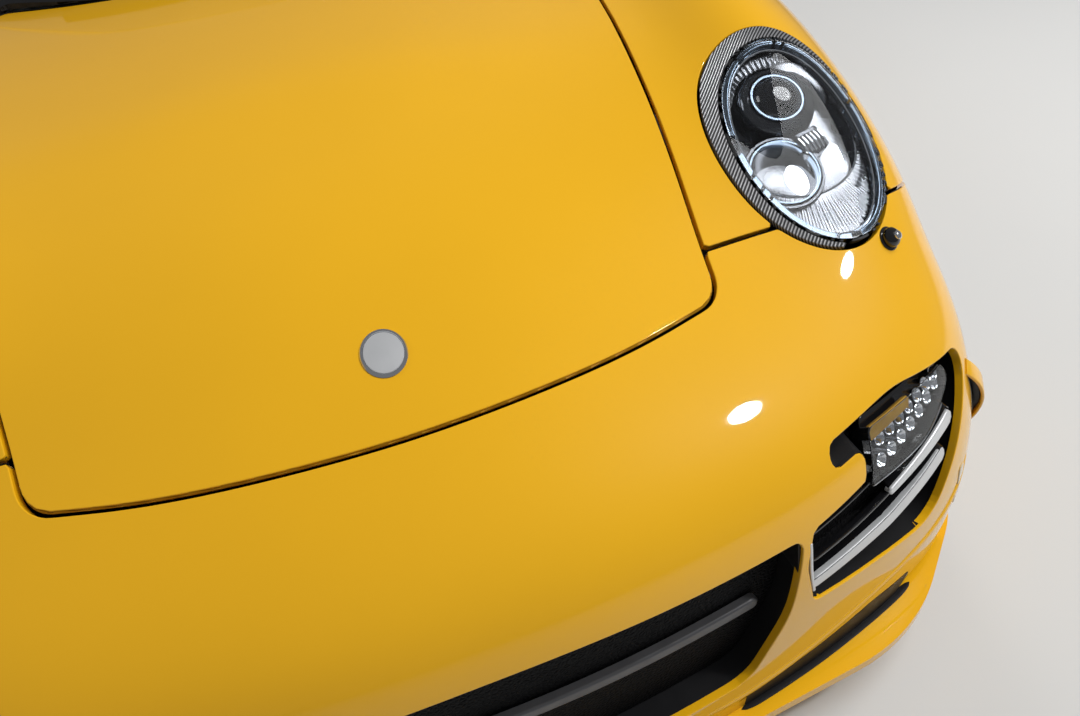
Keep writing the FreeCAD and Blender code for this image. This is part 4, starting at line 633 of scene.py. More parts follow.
class Finish:
    """A material made of nodes, with short calls for colour, grain and bump."""

    def __init__(self, name, colour, rough=0.4, metal=0.0, **sockets):
        self.material = bpy.data.materials.new(name)
        self.material.use_nodes = True
        self.tree = self.material.node_tree
        self.shader = self.tree.nodes["Principled BSDF"]
        self.place = self.tree.nodes.new("ShaderNodeTexCoord").outputs["Object"]
        self.height = None
        self.colour = colour
        self.put("Base Color", (*colour, 1.0))
        self.put("Roughness", rough)
        self.put("Metallic", metal)
        for key, value in sockets.items():
            self.put(key.replace("_", " "), value)

    def put(self, socket, value):
        """Sets one of the shader's own values."""
        self.shader.inputs[socket].default_value = value

    def link(self, a, b):
        self.tree.links.new(a, b)

    def noise(self, scale, detail=3.0, stretch=None):
        """Noise over the piece; stretch is how much longer its grains are along each axis."""
        node = self.tree.nodes.new("ShaderNodeTexNoise")
        node.inputs["Scale"].default_value = scale
        node.inputs["Detail"].default_value = detail
        source = self.place
        if stretch is not None:
            mapping = self.tree.nodes.new("ShaderNodeMapping")
            mapping.inputs["Scale"].default_value = [1 / s for s in stretch]
            self.link(source, mapping.inputs["Vector"])
            source = mapping.outputs["Vector"]
        self.link(source, node.inputs["Vector"])
        return node.outputs["Fac"]

    def ramp(self, source, low, high):
        """A colour that goes from low to high as a source goes from 0.3 to 0.7."""
        node = self.tree.nodes.new("ShaderNodeValToRGB")
        node.color_ramp.elements[0].position = 0.3
        node.color_ramp.elements[1].position = 0.7
        node.color_ramp.elements[0].color = (*low, 1.0)
        node.color_ramp.elements[1].color = (*high, 1.0)
        self.link(source, node.inputs["Fac"])
        return node.outputs["Color"]

    def mottle(self, scale, amount):
        """The colour drifts a little darker and lighter."""
        low = [c * (1 - amount) for c in self.colour]
        high = [min(1.0, c * (1 + amount)) for c in self.colour]
        self.link(self.ramp(self.noise(scale, 4.0), low, high), self.shader.inputs["Base Color"])
        return self

    def uneven(self, scale, low, high):
        """The roughness drifts between two values."""
        node = self.tree.nodes.new("ShaderNodeMapRange")
        node.inputs["From Min"].default_value = 0.35
        node.inputs["From Max"].default_value = 0.65
        node.inputs["To Min"].default_value = low
        node.inputs["To Max"].default_value = high
        self.link(self.noise(scale), node.inputs["Value"])
        self.link(node.outputs["Result"], self.shader.inputs["Roughness"])
        return self

    def bump(self, source, strength, distance=0.001):
        """Raises the surface by a source, over what is raised already."""
        node = self.tree.nodes.new("ShaderNodeBump")
        node.inputs["Strength"].default_value = strength
        node.inputs["Distance"].default_value = distance
        self.link(source, node.inputs["Height"])
        if self.height is not None:
            self.link(self.height, node.inputs["Normal"])
        self.height = node.outputs["Normal"]
        self.link(self.height, self.shader.inputs["Normal"])
        return self

    def grain(self, scale, strength, distance=0.001, detail=3.0, stretch=None):
        """Fine noise in the surface's height."""
        return self.bump(self.noise(scale, detail, stretch), strength, distance)

    def cells(self, scale, strength, distance=0.001):
        """Rounded cells, as leather and moulded grain have."""
        node = self.tree.nodes.new("ShaderNodeTexVoronoi")
        node.feature = "DISTANCE_TO_EDGE"
        node.inputs["Scale"].default_value = scale
        self.link(self.place, node.inputs["Vector"])
        return self.bump(node.outputs["Distance"], strength, distance)

    def waves(self, scale, strength, turn=(0.0, 0.0, 0.0), distance=0.001, colours=None):
        """Fine parallel ribs, turned about the piece's axes."""
        mapping = self.tree.nodes.new("ShaderNodeMapping")
        mapping.inputs["Rotation"].default_value = turn
        self.link(self.place, mapping.inputs["Vector"])
        node = self.tree.nodes.new("ShaderNodeTexWave")
        node.inputs["Scale"].default_value = scale
        self.link(mapping.outputs["Vector"], node.inputs["Vector"])
        if colours is not None:
            self.link(self.ramp(node.outputs["Fac"], *colours), self.shader.inputs["Base Color"])
        return self.bump(node.outputs["Fac"], strength, distance)


PAINT_YELLOW = (0.800, 0.418, 0.006)
paint = Finish("yellow_clear_coat", PAINT_YELLOW, 0.45, Specular_IOR_Level=0.15,
               Coat_Weight=1.0, Coat_Roughness=0.03, Coat_IOR=1.5).mottle(2.2, 0.025).grain(
    260, 0.02, 0.0004, 2.0).material
inner_paint = Finish("yellow_inner_coat", (0.52, 0.27, 0.01), 0.5).mottle(9, 0.12).grain(
    320, 0.08, 0.0005).material
underseal = Finish("black_underseal", (0.018, 0.018, 0.019), 0.7).mottle(14, 0.3).grain(
    160, 0.5, 0.002).material
dark_steel = Finish("dark_pressed_steel", (0.05, 0.05, 0.052), 0.45, 0.6).mottle(12, 0.2).grain(
    120, 0.15).material
black_plastic = Finish("black_moulded_plastic", (0.011, 0.011, 0.012), 0.45,
                       Specular_IOR_Level=0.22).uneven(
    30, 0.38, 0.55).cells(900, 0.12, 0.0006).material
gloss_black = Finish("gloss_black_plastic", (0.006, 0.006, 0.007), 0.12, Coat_Weight=0.6,
                     Coat_Roughness=0.05).uneven(18, 0.08, 0.2).material
rubber = Finish("black_seal_rubber", (0.012, 0.012, 0.012), 0.6).uneven(60, 0.5, 0.7).grain(
    500, 0.15).material
steel = Finish("brushed_steel", (0.42, 0.42, 0.43), 0.35, 1.0).uneven(
    40, 0.28, 0.5).grain(90, 0.06, 0.001, 4.0, (1, 12, 1)).material
cast = Finish("cast_iron", (0.10, 0.10, 0.105), 0.6, 0.7).mottle(25, 0.3).grain(
    180, 0.4, 0.002).material
alloy = Finish("wheel_alloy", (0.50, 0.51, 0.53), 0.28, 0.85, Coat_Weight=0.5,
               Coat_Roughness=0.08).mottle(6, 0.04).grain(400, 0.03, 0.0004).material
satin_blade = Finish("satin_silver", (0.72, 0.73, 0.74), 0.42, 0.55).uneven(
    35, 0.36, 0.5).grain(300, 0.05, 0.0005).material
satin_grey = Finish("satin_grey_blade", (0.10, 0.10, 0.105), 0.38, 0.5).uneven(
    35, 0.32, 0.46).material
black_mesh = Finish("black_fine_mesh", (0.003, 0.003, 0.0033), 0.6,
                    Specular_IOR_Level=0.12).cells(
    150, 1.0, 0.004).material
marker_lens = Finish("side_marker_lens", (0.62, 0.50, 0.30), 0.16, Coat_Weight=0.8,
                     Coat_Roughness=0.05).waves(90, 0.2, (0, 0, 0), 0.0006).material
chrome = Finish("bright_chrome", (0.80, 0.82, 0.85), 0.06, 1.0).uneven(20, 0.03, 0.12).material
mirror_silver = Finish("mirror_silver", (0.86, 0.88, 0.90), 0.02, 1.0).uneven(
    8, 0.01, 0.03).material
tyre_rubber = Finish("tyre_rubber", (0.017, 0.017, 0.018), 0.72).mottle(16, 0.25).grain(
    240, 0.35, 0.001).material
leather = Finish("black_leather", (0.020, 0.019, 0.019), 0.46).mottle(14, 0.2).cells(
    420, 0.35, 0.0008).material
carpet = Finish("charcoal_carpet", (0.022, 0.022, 0.023), 0.95).mottle(60, 0.35).grain(
    700, 0.8, 0.002).material
tinted = Finish("tinted_glass", (0.62, 0.70, 0.66), 0.0, Transmission_Weight=1.0,
                IOR=1.45, Coat_Weight=0.25, Coat_Roughness=0.0).material
clear = Finish("clear_lens", (0.97, 0.985, 1.0), 0.0, Transmission_Weight=1.0,
               IOR=1.30).material


# Pieces copied from the solid model

def mesh_arrays(node):
    """A CAD node's points, in metres, and its triangles' corners."""
    mesh = nodes[node].data
    points = np.empty(len(mesh.vertices) * 3)
    mesh.vertices.foreach_get("co", points)
    corner = np.empty(len(mesh.loops), np.int32)
    mesh.loops.foreach_get("vertex_index", corner)
    return points.reshape(-1, 3), corner.reshape(-1, 3)


def smooth_mesh(name, points, faces, material, body, crease=32.0, outwards=False):
    """Merged faces, shaded smooth except where they meet at more than a crease's angle."""
    mesh = bpy.data.meshes.new(name)
    mesh.from_pydata(points.tolist(), [], faces)
    shape = bmesh.new()
    shape.from_mesh(mesh)
    bmesh.ops.remove_doubles(shape, verts=shape.verts, dist=2e-5)
    if outwards:
        bmesh.ops.recalc_face_normals(shape, faces=shape.faces)
    for line in shape.edges:
        line.smooth = len(line.link_faces) == 2 and line.calc_face_angle(4.0) < math.radians(crease)
    for part in shape.faces:
        part.smooth = True
    shape.to_mesh(mesh)
    shape.free()
    thing = bpy.data.objects.new(name, mesh)
    bpy.context.scene.collection.objects.link(thing)
    mesh.materials.append(material)
    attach(thing, body)
    return thing


def solid_copy(node, material, body):
    """A CAD node as it is, with its facets smoothed and a finish of its own."""
    points, faces = mesh_arrays(node)
    thing = smooth_mesh(node + "_piece", points, faces.tolist(), material, body)
    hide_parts(node)
    return thing


def behind_skin(node, shells, material, body="car", gap=0.0012, keep=None, lining=None):
    """What is left of a CAD node once its outside is a dressed skin: faces further than a gap.

    keep is a trim that the faces have to pass, and lining a trim with the material inside it.
    """
    points, faces = mesh_arrays(node)
    spots, tris = [], []
    for shell in shells:
        mesh = shell.data
        mesh.calc_loop_triangles()
        co = np.empty(len(mesh.vertices) * 3)
        mesh.vertices.foreach_get("co", co)
        index = np.empty(len(mesh.loop_triangles) * 3, np.int32)
        mesh.loop_triangles.foreach_get("vertices", index)
        tris.append(index.reshape(-1, 3) + sum(len(s) for s in spots))
        spots.append(co.reshape(-1, 3))
    tree = BVHTree.FromPolygons(np.vstack(spots).tolist(), np.vstack(tris).tolist())
    centre = points[faces].mean(1)
    far = np.array([tree.find_nearest(Vector(c))[3] > gap for c in centre])
    if keep is not None:
        far &= keep(centre * 1000) > 0
    thing = smooth_mesh(node + "_inside", points, faces[far].tolist(), material, body)
    if lining is not None:
        mesh = thing.data
        spots = np.empty(len(mesh.polygons) * 3)
        mesh.polygons.foreach_get("center", spots)
        mesh.materials.append(lining[1])
        chosen = (lining[0](spots.reshape(-1, 3) * 1000) > 0).astype(np.int32)
        mesh.polygons.foreach_set("material_index", chosen)
    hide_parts(node)
    for shell in shells:
        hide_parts(node)
    return thing


# Painted panels

nose_lid = symmetric(LID_HALF)
tail_lid = symmetric(TAIL_LID_HALF)
intake = symmetric(INTAKE_HALF)
windscreen_line = symmetric(WINDSCREEN_HALF)
rear_glass_line = symmetric(REAR_GLASS_HALF)
beside_lid = [(552, -1130, 0), (1200, -1130, 0), (1200, DOOR_FRONT_Y, 0), (552, DOOR_FRONT_Y, 0)]
tail_angle = math.radians(TAIL_SEAM_DEG)
shell_region = [(DOOR_FRONT_Y, SILL_BOTTOM_Z, 0), (REAR_AXLE[1], SILL_BOTTOM_Z, 0),
                (REAR_AXLE[1], REAR_AXLE[2], 0),
                (REAR_AXLE[1] - SHELL_REACH * math.cos(tail_angle),
                 REAR_AXLE[2] + SHELL_REACH * math.sin(tail_angle), 0),
                (REAR_AXLE[1], 3000, 0), (COWL_REACH_Y, 3000, 0), (COWL_REACH_Y, 600, 0),
                (DOOR_FRONT_Y, 600, 0)]


def on_side(limit):
    """True for points on the car's left side, further out than a limit."""
    return lambda points: points[:, 0] > limit


lamp_hole = mirrored_trim(lamp_ellipse(LAMP_LONG + LAMP_GAP, LAMP_WIDE + LAMP_GAP, sense=-1.0))
tail_lamp_hole = mirrored_trim(beyond("xz", TAIL_LAMP, 3.0,
                                      lambda p: p[:, 1] > TAIL_LAMP_FRONT_Y - 3))
door_gap_line = mirrored_trim(beyond("yz", DOOR, DOOR_GAP, on_side(DOOR_GAP_X)))
front_arch = off_axle(FRONT_AXLE, FRONT_ARCH_R)
rear_arch = off_axle(REAR_AXLE, REAR_ARCH_R)


def off_door_swing(points):
    """Distance outside the room that each door's front edge swings into."""
    x, y, z = np.abs(points[:, 0]), points[:, 1], points[:, 2]
    ahead = DOOR_FRONT_Y - DOOR_GAP - y
    return np.max([DOOR_SWING[0] - x, ahead, y - DOOR_SWING[1], z - DOOR_SWING[2]], axis=0)


def off_door_rail(points):
    """Distance outside the strip that would cross the door's opening under its window."""
    x, y, z = np.abs(points[:, 0]), points[:, 1], points[:, 2]
    inner, outer, front, top = DOOR_RAIL
    return np.max([inner - x, x - outer, front - y, y - DOOR_REAR_Y, z - top], axis=0)


def in_cabin(points):
    """Distance inside the cabin's room, whose faces are lined."""
    x, y, z = np.abs(points[:, 0]), points[:, 1], points[:, 2]
    half, front, rear, low = CABIN_ROOM
    roof = CABIN_ROOF_Z - CABIN_ROOF_BEND * (y - CABIN_ROOF_Y) ** 2
    return np.min([half - x, y - front, rear - y, z - low, roof - z], axis=0)


beyond_nose_lid = beyond("xy", nose_lid, LID_GAP)
beyond_tail_lid = beyond("xy", tail_lid, LID_GAP)

# The lip's slot: the bumper is cut along this outline, and a flush black sheet fills the cut as
# painted shade of the slot's depth
LIP_SLOT = [(326, 100, 0), (330, 134, 2), (400, 138, 60), (560, 155, 120), (648, 146, 8),
            (610, 100, 0)]

bumper = skin_piece("bumper_skin", BODY, (0.0, 7.5), (0.0, 14.0), [
    fan_side(FRONT_AXLE, NOSE_SEAM_DEG, -1, SEAM_GAP),
    lambda p: p[:, 2] - NOSE_BOTTOM_Z,
    beyond("xz", intake), mirrored_trim(beyond("xz", DUCT)), mirrored_trim(beyond("xz", LIP_SLOT)),
    beyond_nose_lid, front_arch, lamp_hole], paint, "car", step=10.0)
lid = skin_piece("luggage_lid_skin", BODY, (3.0, 16.0), (1.5, 12.5), [within("xy", nose_lid)],
                 paint, "luggage_lid")
wings = skin_piece("wing_skin_l", BODY, (4.0, 15.5), (8.2, 14.0), [
    fan_side(FRONT_AXLE, NOSE_SEAM_DEG, 1, SEAM_GAP),
    lambda p: DOOR_FRONT_Y - DOOR_GAP - p[:, 1], lambda p: p[:, 2] - SILL_BOTTOM_Z,
    lambda p: p[:, 0] - WING_INNER_X, front_arch, beyond_nose_lid, lamp_hole],
    paint, "car", step=11.0, mirror=True)
COWL_LINE = symmetric([(0, -1010, 0), (575, -1010, 0), (612, -618, 30), (0, -600, 0)])
shell_trims = [
    within("yz", shell_region), fan_side(REAR_AXLE, TAIL_SEAM_DEG, -1, SEAM_GAP),
    beyond("xy", symmetric(CABIN_FOOT_HALF), -CABIN_LAP), beyond_nose_lid, beyond_tail_lid,
    rear_arch, mirrored_trim(beyond("xy", beside_lid)), door_gap_line, tail_lamp_hole,
    off_door_swing, off_door_rail]
shell = skin_piece("shell_skin", BODY, (12.0, 28.5), (0.0, 14.0),
                   shell_trims + [beyond("xy", COWL_LINE)], paint, "car")
cowl_body = skin_piece("cowl_panel_front", BODY, (10.0, 17.0), (2.0, 12.0),
                       shell_trims + [within("xy", COWL_LINE)], black_plastic, "car", edge=0.4)
window_line = mirrored_trim(beyond("yz", DOOR_WINDOW, 0.0, on_side(WINDOW_SIDE_X)))
cabin_trims = [
    beyond("yz", BELOW_CABIN), window_line, beyond("xy", windscreen_line),
    beyond("xy", rear_glass_line),
    mirrored_trim(beyond("yz", QUARTER_WINDOW, 0.0, on_side(QUARTER_SIDE_X))),
    door_gap_line, off_door_swing, beyond_nose_lid]
cabin = skin_piece("cabin_skin", CABIN, (0.0, 12.0), (0.0, 12.0),
                   cabin_trims + [beyond("xy", COWL_LINE)], paint, "car")
cowl_cabin = skin_piece("cowl_panel_rear", CABIN, (0.0, 6.0), (0.0, 12.0),
                        cabin_trims + [within("xy", COWL_LINE)], black_plastic, "car", edge=0.4)
doors = skin_piece("door_skin_l", BODY, (12.5, 19.5), (8.5, 14.0), [
    within("yz", DOOR), lambda p: p[:, 0] - DOOR_SKIN_X], paint, "door_left", mirror=True)


def off_tip(points):
    """Distance to the slot that clears an exhaust tip: a half round that is open below."""
    x, z = points[:, 0] - EXHAUST_TIP[0], np.maximum(points[:, 2] - EXHAUST_TIP[2], 0)
    return np.where(points[:, 1] > TIP_SLOT_FRONT_Y, np.hypot(x, z) - TIP_SLOT_R, 50.0)


tail = skin_piece("tail_skin", BODY, *TAIL_PATCH, [
    fan_side(REAR_AXLE, TAIL_SEAM_DEG, 1, SEAM_GAP), lambda p: p[:, 2] - TAIL_BOTTOM_Z,
    beyond_tail_lid, rear_arch, tail_lamp_hole,
    mirrored_trim(beyond("xz", TAIL_VENT, 0.0, lambda p: p[:, 1] > TAIL_FACE_Y)),
    mirrored_trim(off_tip)], paint, "car")
engine_lid = skin_piece("engine_lid_skin", BODY, (20.0, 28.0), (2.5, 11.5),
                        [within("xy", tail_lid)], paint, "engine_lid")

behind_skin("front_bumper", [bumper], black_plastic)
behind_skin("bonnet_lid", [lid], inner_paint, "luggage_lid")
behind_skin("body_shell", [shell, cabin, cowl_body, cowl_cabin], inner_paint,
            keep=off_door_rail, lining=(in_cabin, carpet))
behind_skin("rear_bumper", [tail], black_plastic)
behind_skin("engine_lid", [engine_lid], inner_paint, "engine_lid")
for side, wing, door in (("l", wings[0], doors[0]), ("r", wings[1], doors[1])):
    behind_skin("front_wing_" + side, [wing], black_plastic)
    behind_skin("door_" + side, [door], black_plastic,
                "door_left" if side == "l" else "door_right")

# Glass: panes now, and their borders and seals further on. Columns: name of the borders, name of
# the pane, plane and outline, ranges of u and v, its side, body, replaced nodes
GLASS = (
    ("windscreen", "windscreen_pane", "xy", windscreen_line, (0.5, 8.5), (2.0, 12.0), None,
     "car", ("windscreen",)),
    ("rear_glass", "rear_glass_pane", "xy", rear_glass_line, (6.5, 12.0), (2.0, 12.0), None,
     "car", ("rear_glass",)),
    ("quarter", "quarter_pane_l", "yz", QUARTER_WINDOW, (5.0, 11.0), (7.5, 14.0),
     on_side(QUARTER_SIDE_X), "car", ("quarter_glass", "quarter_glass")),
    ("door_glass", "door_pane_l", "yz", DOOR_WINDOW, (0.5, 9.0), (7.5, 12.0),
     on_side(WINDOW_SIDE_X), "door_left", ("door_glass_l", "door_glass_r")))
for _, name, plane, line, u_range, v_range, near, body, replaced in GLASS:
    sided = len(replaced) == 2
    made = skin_piece(name, CABIN, u_range, v_range, [within(plane, line, -GLASS_GAP, near)],
                      tinted, body, step=14.0 if sided else 16.0, face=PANE_FACE, edge=PANE_EDGE,
                      back=PANE_THICK, mirror=sided)
    for pane, node in zip(made if sided else [made], replaced):
        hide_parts(node)


# Shapes of the details

def lay(name, rings, material, body="car", crease=35.0, mirror=False, closed=False):
    """A solid through rings of points: each ring joins the next, and both ends are capped."""
    rings = np.asarray(rings, float)
    rows, columns = rings.shape[:2]
    i, j = (g.ravel() for g in np.meshgrid(np.arange(rows if closed else rows - 1),
                                           np.arange(columns), indexing="ij"))
    after, beside = (i + 1) % rows, (j + 1) % columns
    faces = np.stack([i * columns + j, i * columns + beside, after * columns + beside,
                      after * columns + j], 1).tolist()
    if not closed:
        faces += [list(range(columns)), list(range((rows - 1) * columns, rows * columns))]
    points = rings.reshape(-1, 3) * 0.001
    things = [smooth_mesh(name, points, faces, material, body, crease, True)]
    if mirror:
        things.append(smooth_mesh(name[:-1] + "r", points * [-1, 1, 1], faces, material,
                                  body.replace("left", "right"), crease, True))
    return things if mirror else things[0]


def unit(vector):
    """Vectors divided by their lengths."""
    vector = np.asarray(vector, float)
    return vector / np.linalg.norm(vector, axis=-1, keepdims=True)


def circle(count=16, wide=1.0, high=1.0):
    """A closed section: (wide cos t, high sin t)."""
    turn = np.arange(count) * 2 * np.pi / count
    return np.stack([wide * np.cos(turn), high * np.sin(turn)], 1)


def soft_box(wide, high, radius, count=5):
    """A closed rectangular section of half sizes wide and high with rounded corners."""
    turn = np.linspace(0, np.pi / 2, count)
    arc = radius * np.stack([np.cos(turn), np.sin(turn)], 1)
    place = np.array([wide - radius, high - radius])
    quarter = [(arc + place), (arc[::-1] + place) * [-1, 1], -(arc + place),
               (arc[::-1] + place) * [1, -1]]
    return np.vstack(quarter)


def smooth_path(spots, count):
    """A path through spots: cubic spline arcs whose slope is half the step between neighbours."""
    spots = np.asarray(spots, float)
    slope = np.gradient(spots, axis=0)
    t = np.linspace(0, len(spots) - 1, count)
    k = np.minimum(t.astype(int), len(spots) - 2)
    s = (t - k)[:, None]
    return ((2 * s ** 3 - 3 * s ** 2 + 1) * spots[k] + (s ** 3 - 2 * s ** 2 + s) * slope[k]
            + (3 * s ** 2 - 2 * s ** 3) * spots[k + 1] + (s ** 3 - s ** 2) * slope[k + 1])


def sweep(name, path, section, material, body="car", up=(0, 0, 1), scale=None, mirror=False,
          closed=False):
    """A section carried along a path: point = path + x * side + y * rise, times a scale."""
    path = np.asarray(path, float)
    if closed:
        tangent = unit(np.roll(path, -1, 0) - np.roll(path, 1, 0))
    else:
        tangent = unit(np.gradient(path, axis=0))
    side = unit(np.cross(tangent, np.broadcast_to(up, path.shape)))
    rise = np.cross(side, tangent)
    scale = np.ones(len(path)) if scale is None else np.asarray(scale, float)
    rings = path[:, None] + scale[:, None, None] * (
        section[None, :, :1] * side[:, None] + section[None, :, 1:] * rise[:, None])
    return lay(name, rings, material, body, mirror=mirror, closed=closed)


def rounded_ends(count, share=0.08):
    """Scales for a sweep that ends in half rounds: sqrt(1 - (1 - distance / share) ** 2)."""
    t = np.linspace(0, 1, count)
    near = np.minimum(np.minimum(t, 1 - t) / share, 1)
    return np.sqrt(np.maximum(1 - (1 - near) ** 2, 0.0004))


def spun(name, profile, centre, axis, material, body="car", count=40, mirror=False, crease=35.0,
         wide=1.0, across=None, closed=False):
    """A profile of (radius, height) turned about an axis through a centre.

    The radius may be stretched by wide along the direction across.
    """
    profile, axis = np.asarray(profile, float), unit(axis)
    first = np.cross(axis, (0.3, 1.0, 0.2)) if across is None else np.asarray(across, float)
    first = unit(first - axis * (first @ axis))
    second = np.cross(axis, first)
    turn = np.arange(count) * 2 * np.pi / count
    ring = wide * np.cos(turn)[:, None] * first + np.sin(turn)[:, None] * second
    rings = (np.asarray(centre, float) + profile[:, 1, None, None] * axis
             + profile[:, 0, None, None] * ring)
    return lay(name, rings, material, body, crease, mirror, closed)


def slab(name, corners, low, high, place, material, radius, mirror=False):
    """A flat plate with rounded edges: its outline, drawn in by up to a radius, at each height.

    place turns flat (a, b, h) points into the car's.
    """
    loop = outline(corners)
    middle = loop.mean(0)
    reach = np.linalg.norm(loop - middle, axis=1, keepdims=True)
    rings = []
    for height, draw in ((low, radius), (low + radius * 0.3, radius * 0.3), (low + radius, 0),
                         (high - radius, 0), (high - radius * 0.3, radius * 0.3),
                         (high, radius)):
        flat = middle + (loop - middle) * (1 - draw / np.maximum(reach, radius * 2))
        rings.append(place(np.column_stack([flat, np.full(len(flat), height)])))
    return lay(name, rings, material, mirror=mirror)


def on_skin(skin, plane, targets, depth=0.0, near=None):
    """Points and normals of a skin over spots of a plane, by Newton steps on (u, v).

    The first guess is the nearest of a net of samples, and slopes are small differences.
    """
    pick = list(PLANES[plane])
    targets = np.asarray(targets, float)
    grid = np.meshgrid(np.linspace(0, skin.ends[0], 120),
                       np.linspace(skin.ends[1] / 2, skin.ends[1], 60))
    u, v = (g.ravel() for g in grid)
    samples = skin.at(u, v)[0]
    gap = ((targets[:, None] - samples[None, :, pick]) ** 2).sum(2)
    if near is not None:
        gap = gap + np.where(near(samples), 0, 1e9)
    best = gap.argmin(1)
    spot = np.stack([u[best], v[best]], 1)
    for _ in range(10):
        here = skin.at(spot[:, 0], spot[:, 1], depth)[0][:, pick]
        du = (skin.at(spot[:, 0] + 0.01, spot[:, 1], depth)[0][:, pick] - here) / 0.01
        dv = (skin.at(spot[:, 0], spot[:, 1] + 0.01, depth)[0][:, pick] - here) / 0.01
        miss = targets - here
        area = du[:, 0] * dv[:, 1] - du[:, 1] * dv[:, 0]
        area = np.where(np.abs(area) < 1e-6, 1e-6, area)
        step = np.stack([miss[:, 0] * dv[:, 1] - miss[:, 1] * dv[:, 0],
                         du[:, 0] * miss[:, 1] - du[:, 1] * miss[:, 0]], 1) / area[:, None]
        spot = np.clip(spot + np.clip(step, -0.5, 0.5), 0, skin.ends)
    return skin.at(spot[:, 0], spot[:, 1], depth)


def at_nose(points):
    """True for points ahead of the front tyres."""
    return points[:, 1] < NOSE_REAR_Y


# Head lamps. Their spots are (down, out) from the lamp's centre

lamp_grey = Finish("ribbed_lamp_ring", (0.10, 0.10, 0.105), 0.34, 0.5).waves(
    80, 0.9, (0.0, 0.3, 0.9), 0.0012, ((0.03, 0.03, 0.032), (0.34, 0.34, 0.35))).material
edge_chrome = Finish("lens_edge_chrome", (0.16, 0.20, 0.25), 0.12, 1.0).uneven(
    25, 0.06, 0.22).material
satin_reflector = Finish("satin_reflector", (0.23, 0.24, 0.26), 0.26, 1.0).uneven(
    30, 0.18, 0.34).mottle(18, 0.15).material
dark_chrome = Finish("dark_chrome", (0.10, 0.105, 0.115), 0.10, 1.0).uneven(
    22, 0.05, 0.2).material
dark_glass = Finish("projector_glass", (0.004, 0.005, 0.008), 0.03, Coat_Weight=1.0,
                    Coat_Roughness=0.02).uneven(15, 0.02, 0.06).material
glow = Finish("lit_bulb", (0.95, 0.97, 1.0), 0.4, Emission_Color=(0.93, 0.96, 1.0, 1.0),
              Emission_Strength=3.5).mottle(60, 0.03).material
amber = Finish("amber_lens", (0.36, 0.20, 0.015), 0.12, Coat_Weight=1.0,
               Coat_Roughness=0.04).waves(120, 0.4, (0, 0, 0), 0.0008).material
# Ranges of u and v round the left lamp
LAMP_PATCH = ((5.2, 9.0), (9.2, 12.3))
PROJECTOR = (-64.0, 6.0)
BOWL = (49.0, -35.0)
DISH = (-4.0, 4.0)
DISH_R = 97.0
LAMP_RIBS = 100
RIB_HIGH = 0.9


def lamp_terms(a, b):
    """Products a**i * b**j up to the fifth order, with lengths in tenths of a metre."""
    return np.stack([(a / 100) ** i * (b / 100) ** j for i in range(6) for j in range(6 - i)], -1)


def lamp_fit():
    """Weights of the terms that give the skin's height over the lamp's plane, least squares."""
    u, v = (g.ravel() for g in np.meshgrid(np.linspace(5.3, 8.9, 60), np.linspace(9.3, 12.2, 60)))
    off = BODY.at(u, v)[0] - LAMP_CENTRE
    a, b, height = off @ LAMP_DOWN, off @ LAMP_ACROSS, off @ LAMP_AXIS
    near = (a / 205) ** 2 + (b / 135) ** 2 < 1
    return np.linalg.lstsq(lamp_terms(a[near], b[near]), height[near], rcond=None)[0]


LAMP_SHAPE = lamp_fit()


def in_lamp(a, b, below):
    """Points a down and b out from the left lamp's centre, and some way below its skin."""
    a, b, below = np.broadcast_arrays(np.asarray(a, float), b, below)
    height = lamp_terms(a, b) @ LAMP_SHAPE - below
    return (LAMP_CENTRE + a[..., None] * LAMP_DOWN + b[..., None] * LAMP_ACROSS
            + height[..., None] * LAMP_AXIS)


def lamp_turn(name, profile, spot, material, count=40, wide=1.0, closed=False):
    """A profile of (radius, depth below the skin) turned about the lamp's axis at a spot."""
    centre = in_lamp(spot[0], spot[1], 0.0)
    upright = [(r, -below) for r, below in profile]
    return spun(name, upright, centre, LAMP_AXIS, material, count=count, mirror=True, wide=wide,
                across=LAMP_DOWN, closed=closed)


def lamp_arc_path(spot, radius, below, start, stop, count):
    """Points of an arc round a spot of the lamp, at one depth below the skin."""
    turn = np.radians(np.linspace(start, stop, count))
    a, b = spot[0] + radius * np.cos(turn), spot[1] + radius * np.sin(turn)
    return in_lamp(a, b, below)


lens_line = lamp_ellipse(LENS_LONG - 1.0, LENS_WIDE - 1.0, LENS_SHIFT)


def beyond_lens(grow):
    """Keeps what lies outside the lens's ellipse, grown by a length."""
    return lamp_ellipse(LENS_LONG + grow, LENS_WIDE + grow, LENS_SHIFT, -1.0)


lamp_parts = skin_piece(
    "lamp_ring_l", BODY, *LAMP_PATCH, [lamp_ellipse(LAMP_LONG, LAMP_WIDE), beyond_lens(4.0)],
    lamp_grey, "car", step=6.0, face=3.0, edge=1.2, hem=10.0, mirror=True)
lamp_parts += skin_piece(
    "lamp_seal_l", BODY, *LAMP_PATCH, [
        lamp_ellipse(LENS_LONG + 3.6, LENS_WIDE + 3.6, LENS_SHIFT), beyond_lens(-0.4)],
    rubber, "car", step=6.0, face=3.4, edge=0.8, hem=12.0, mirror=True)
lamp_parts += skin_piece(
    "lamp_edge_l", BODY, *LAMP_PATCH, [
        lamp_ellipse(LENS_LONG - 2, LENS_WIDE - 2, LENS_SHIFT), beyond_lens(-11.0)],
    edge_chrome, "car", step=6.0, face=0.4, edge=2.2, hem=14.0, mirror=True)
lenses = skin_piece("lamp_lens_l", BODY, *LAMP_PATCH, [lens_line], clear, "car", step=8.0,
                    face=5.0, edge=1.4, back=3.2, mirror=True)
for pane in lenses:
    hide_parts("headlamp_lenses")


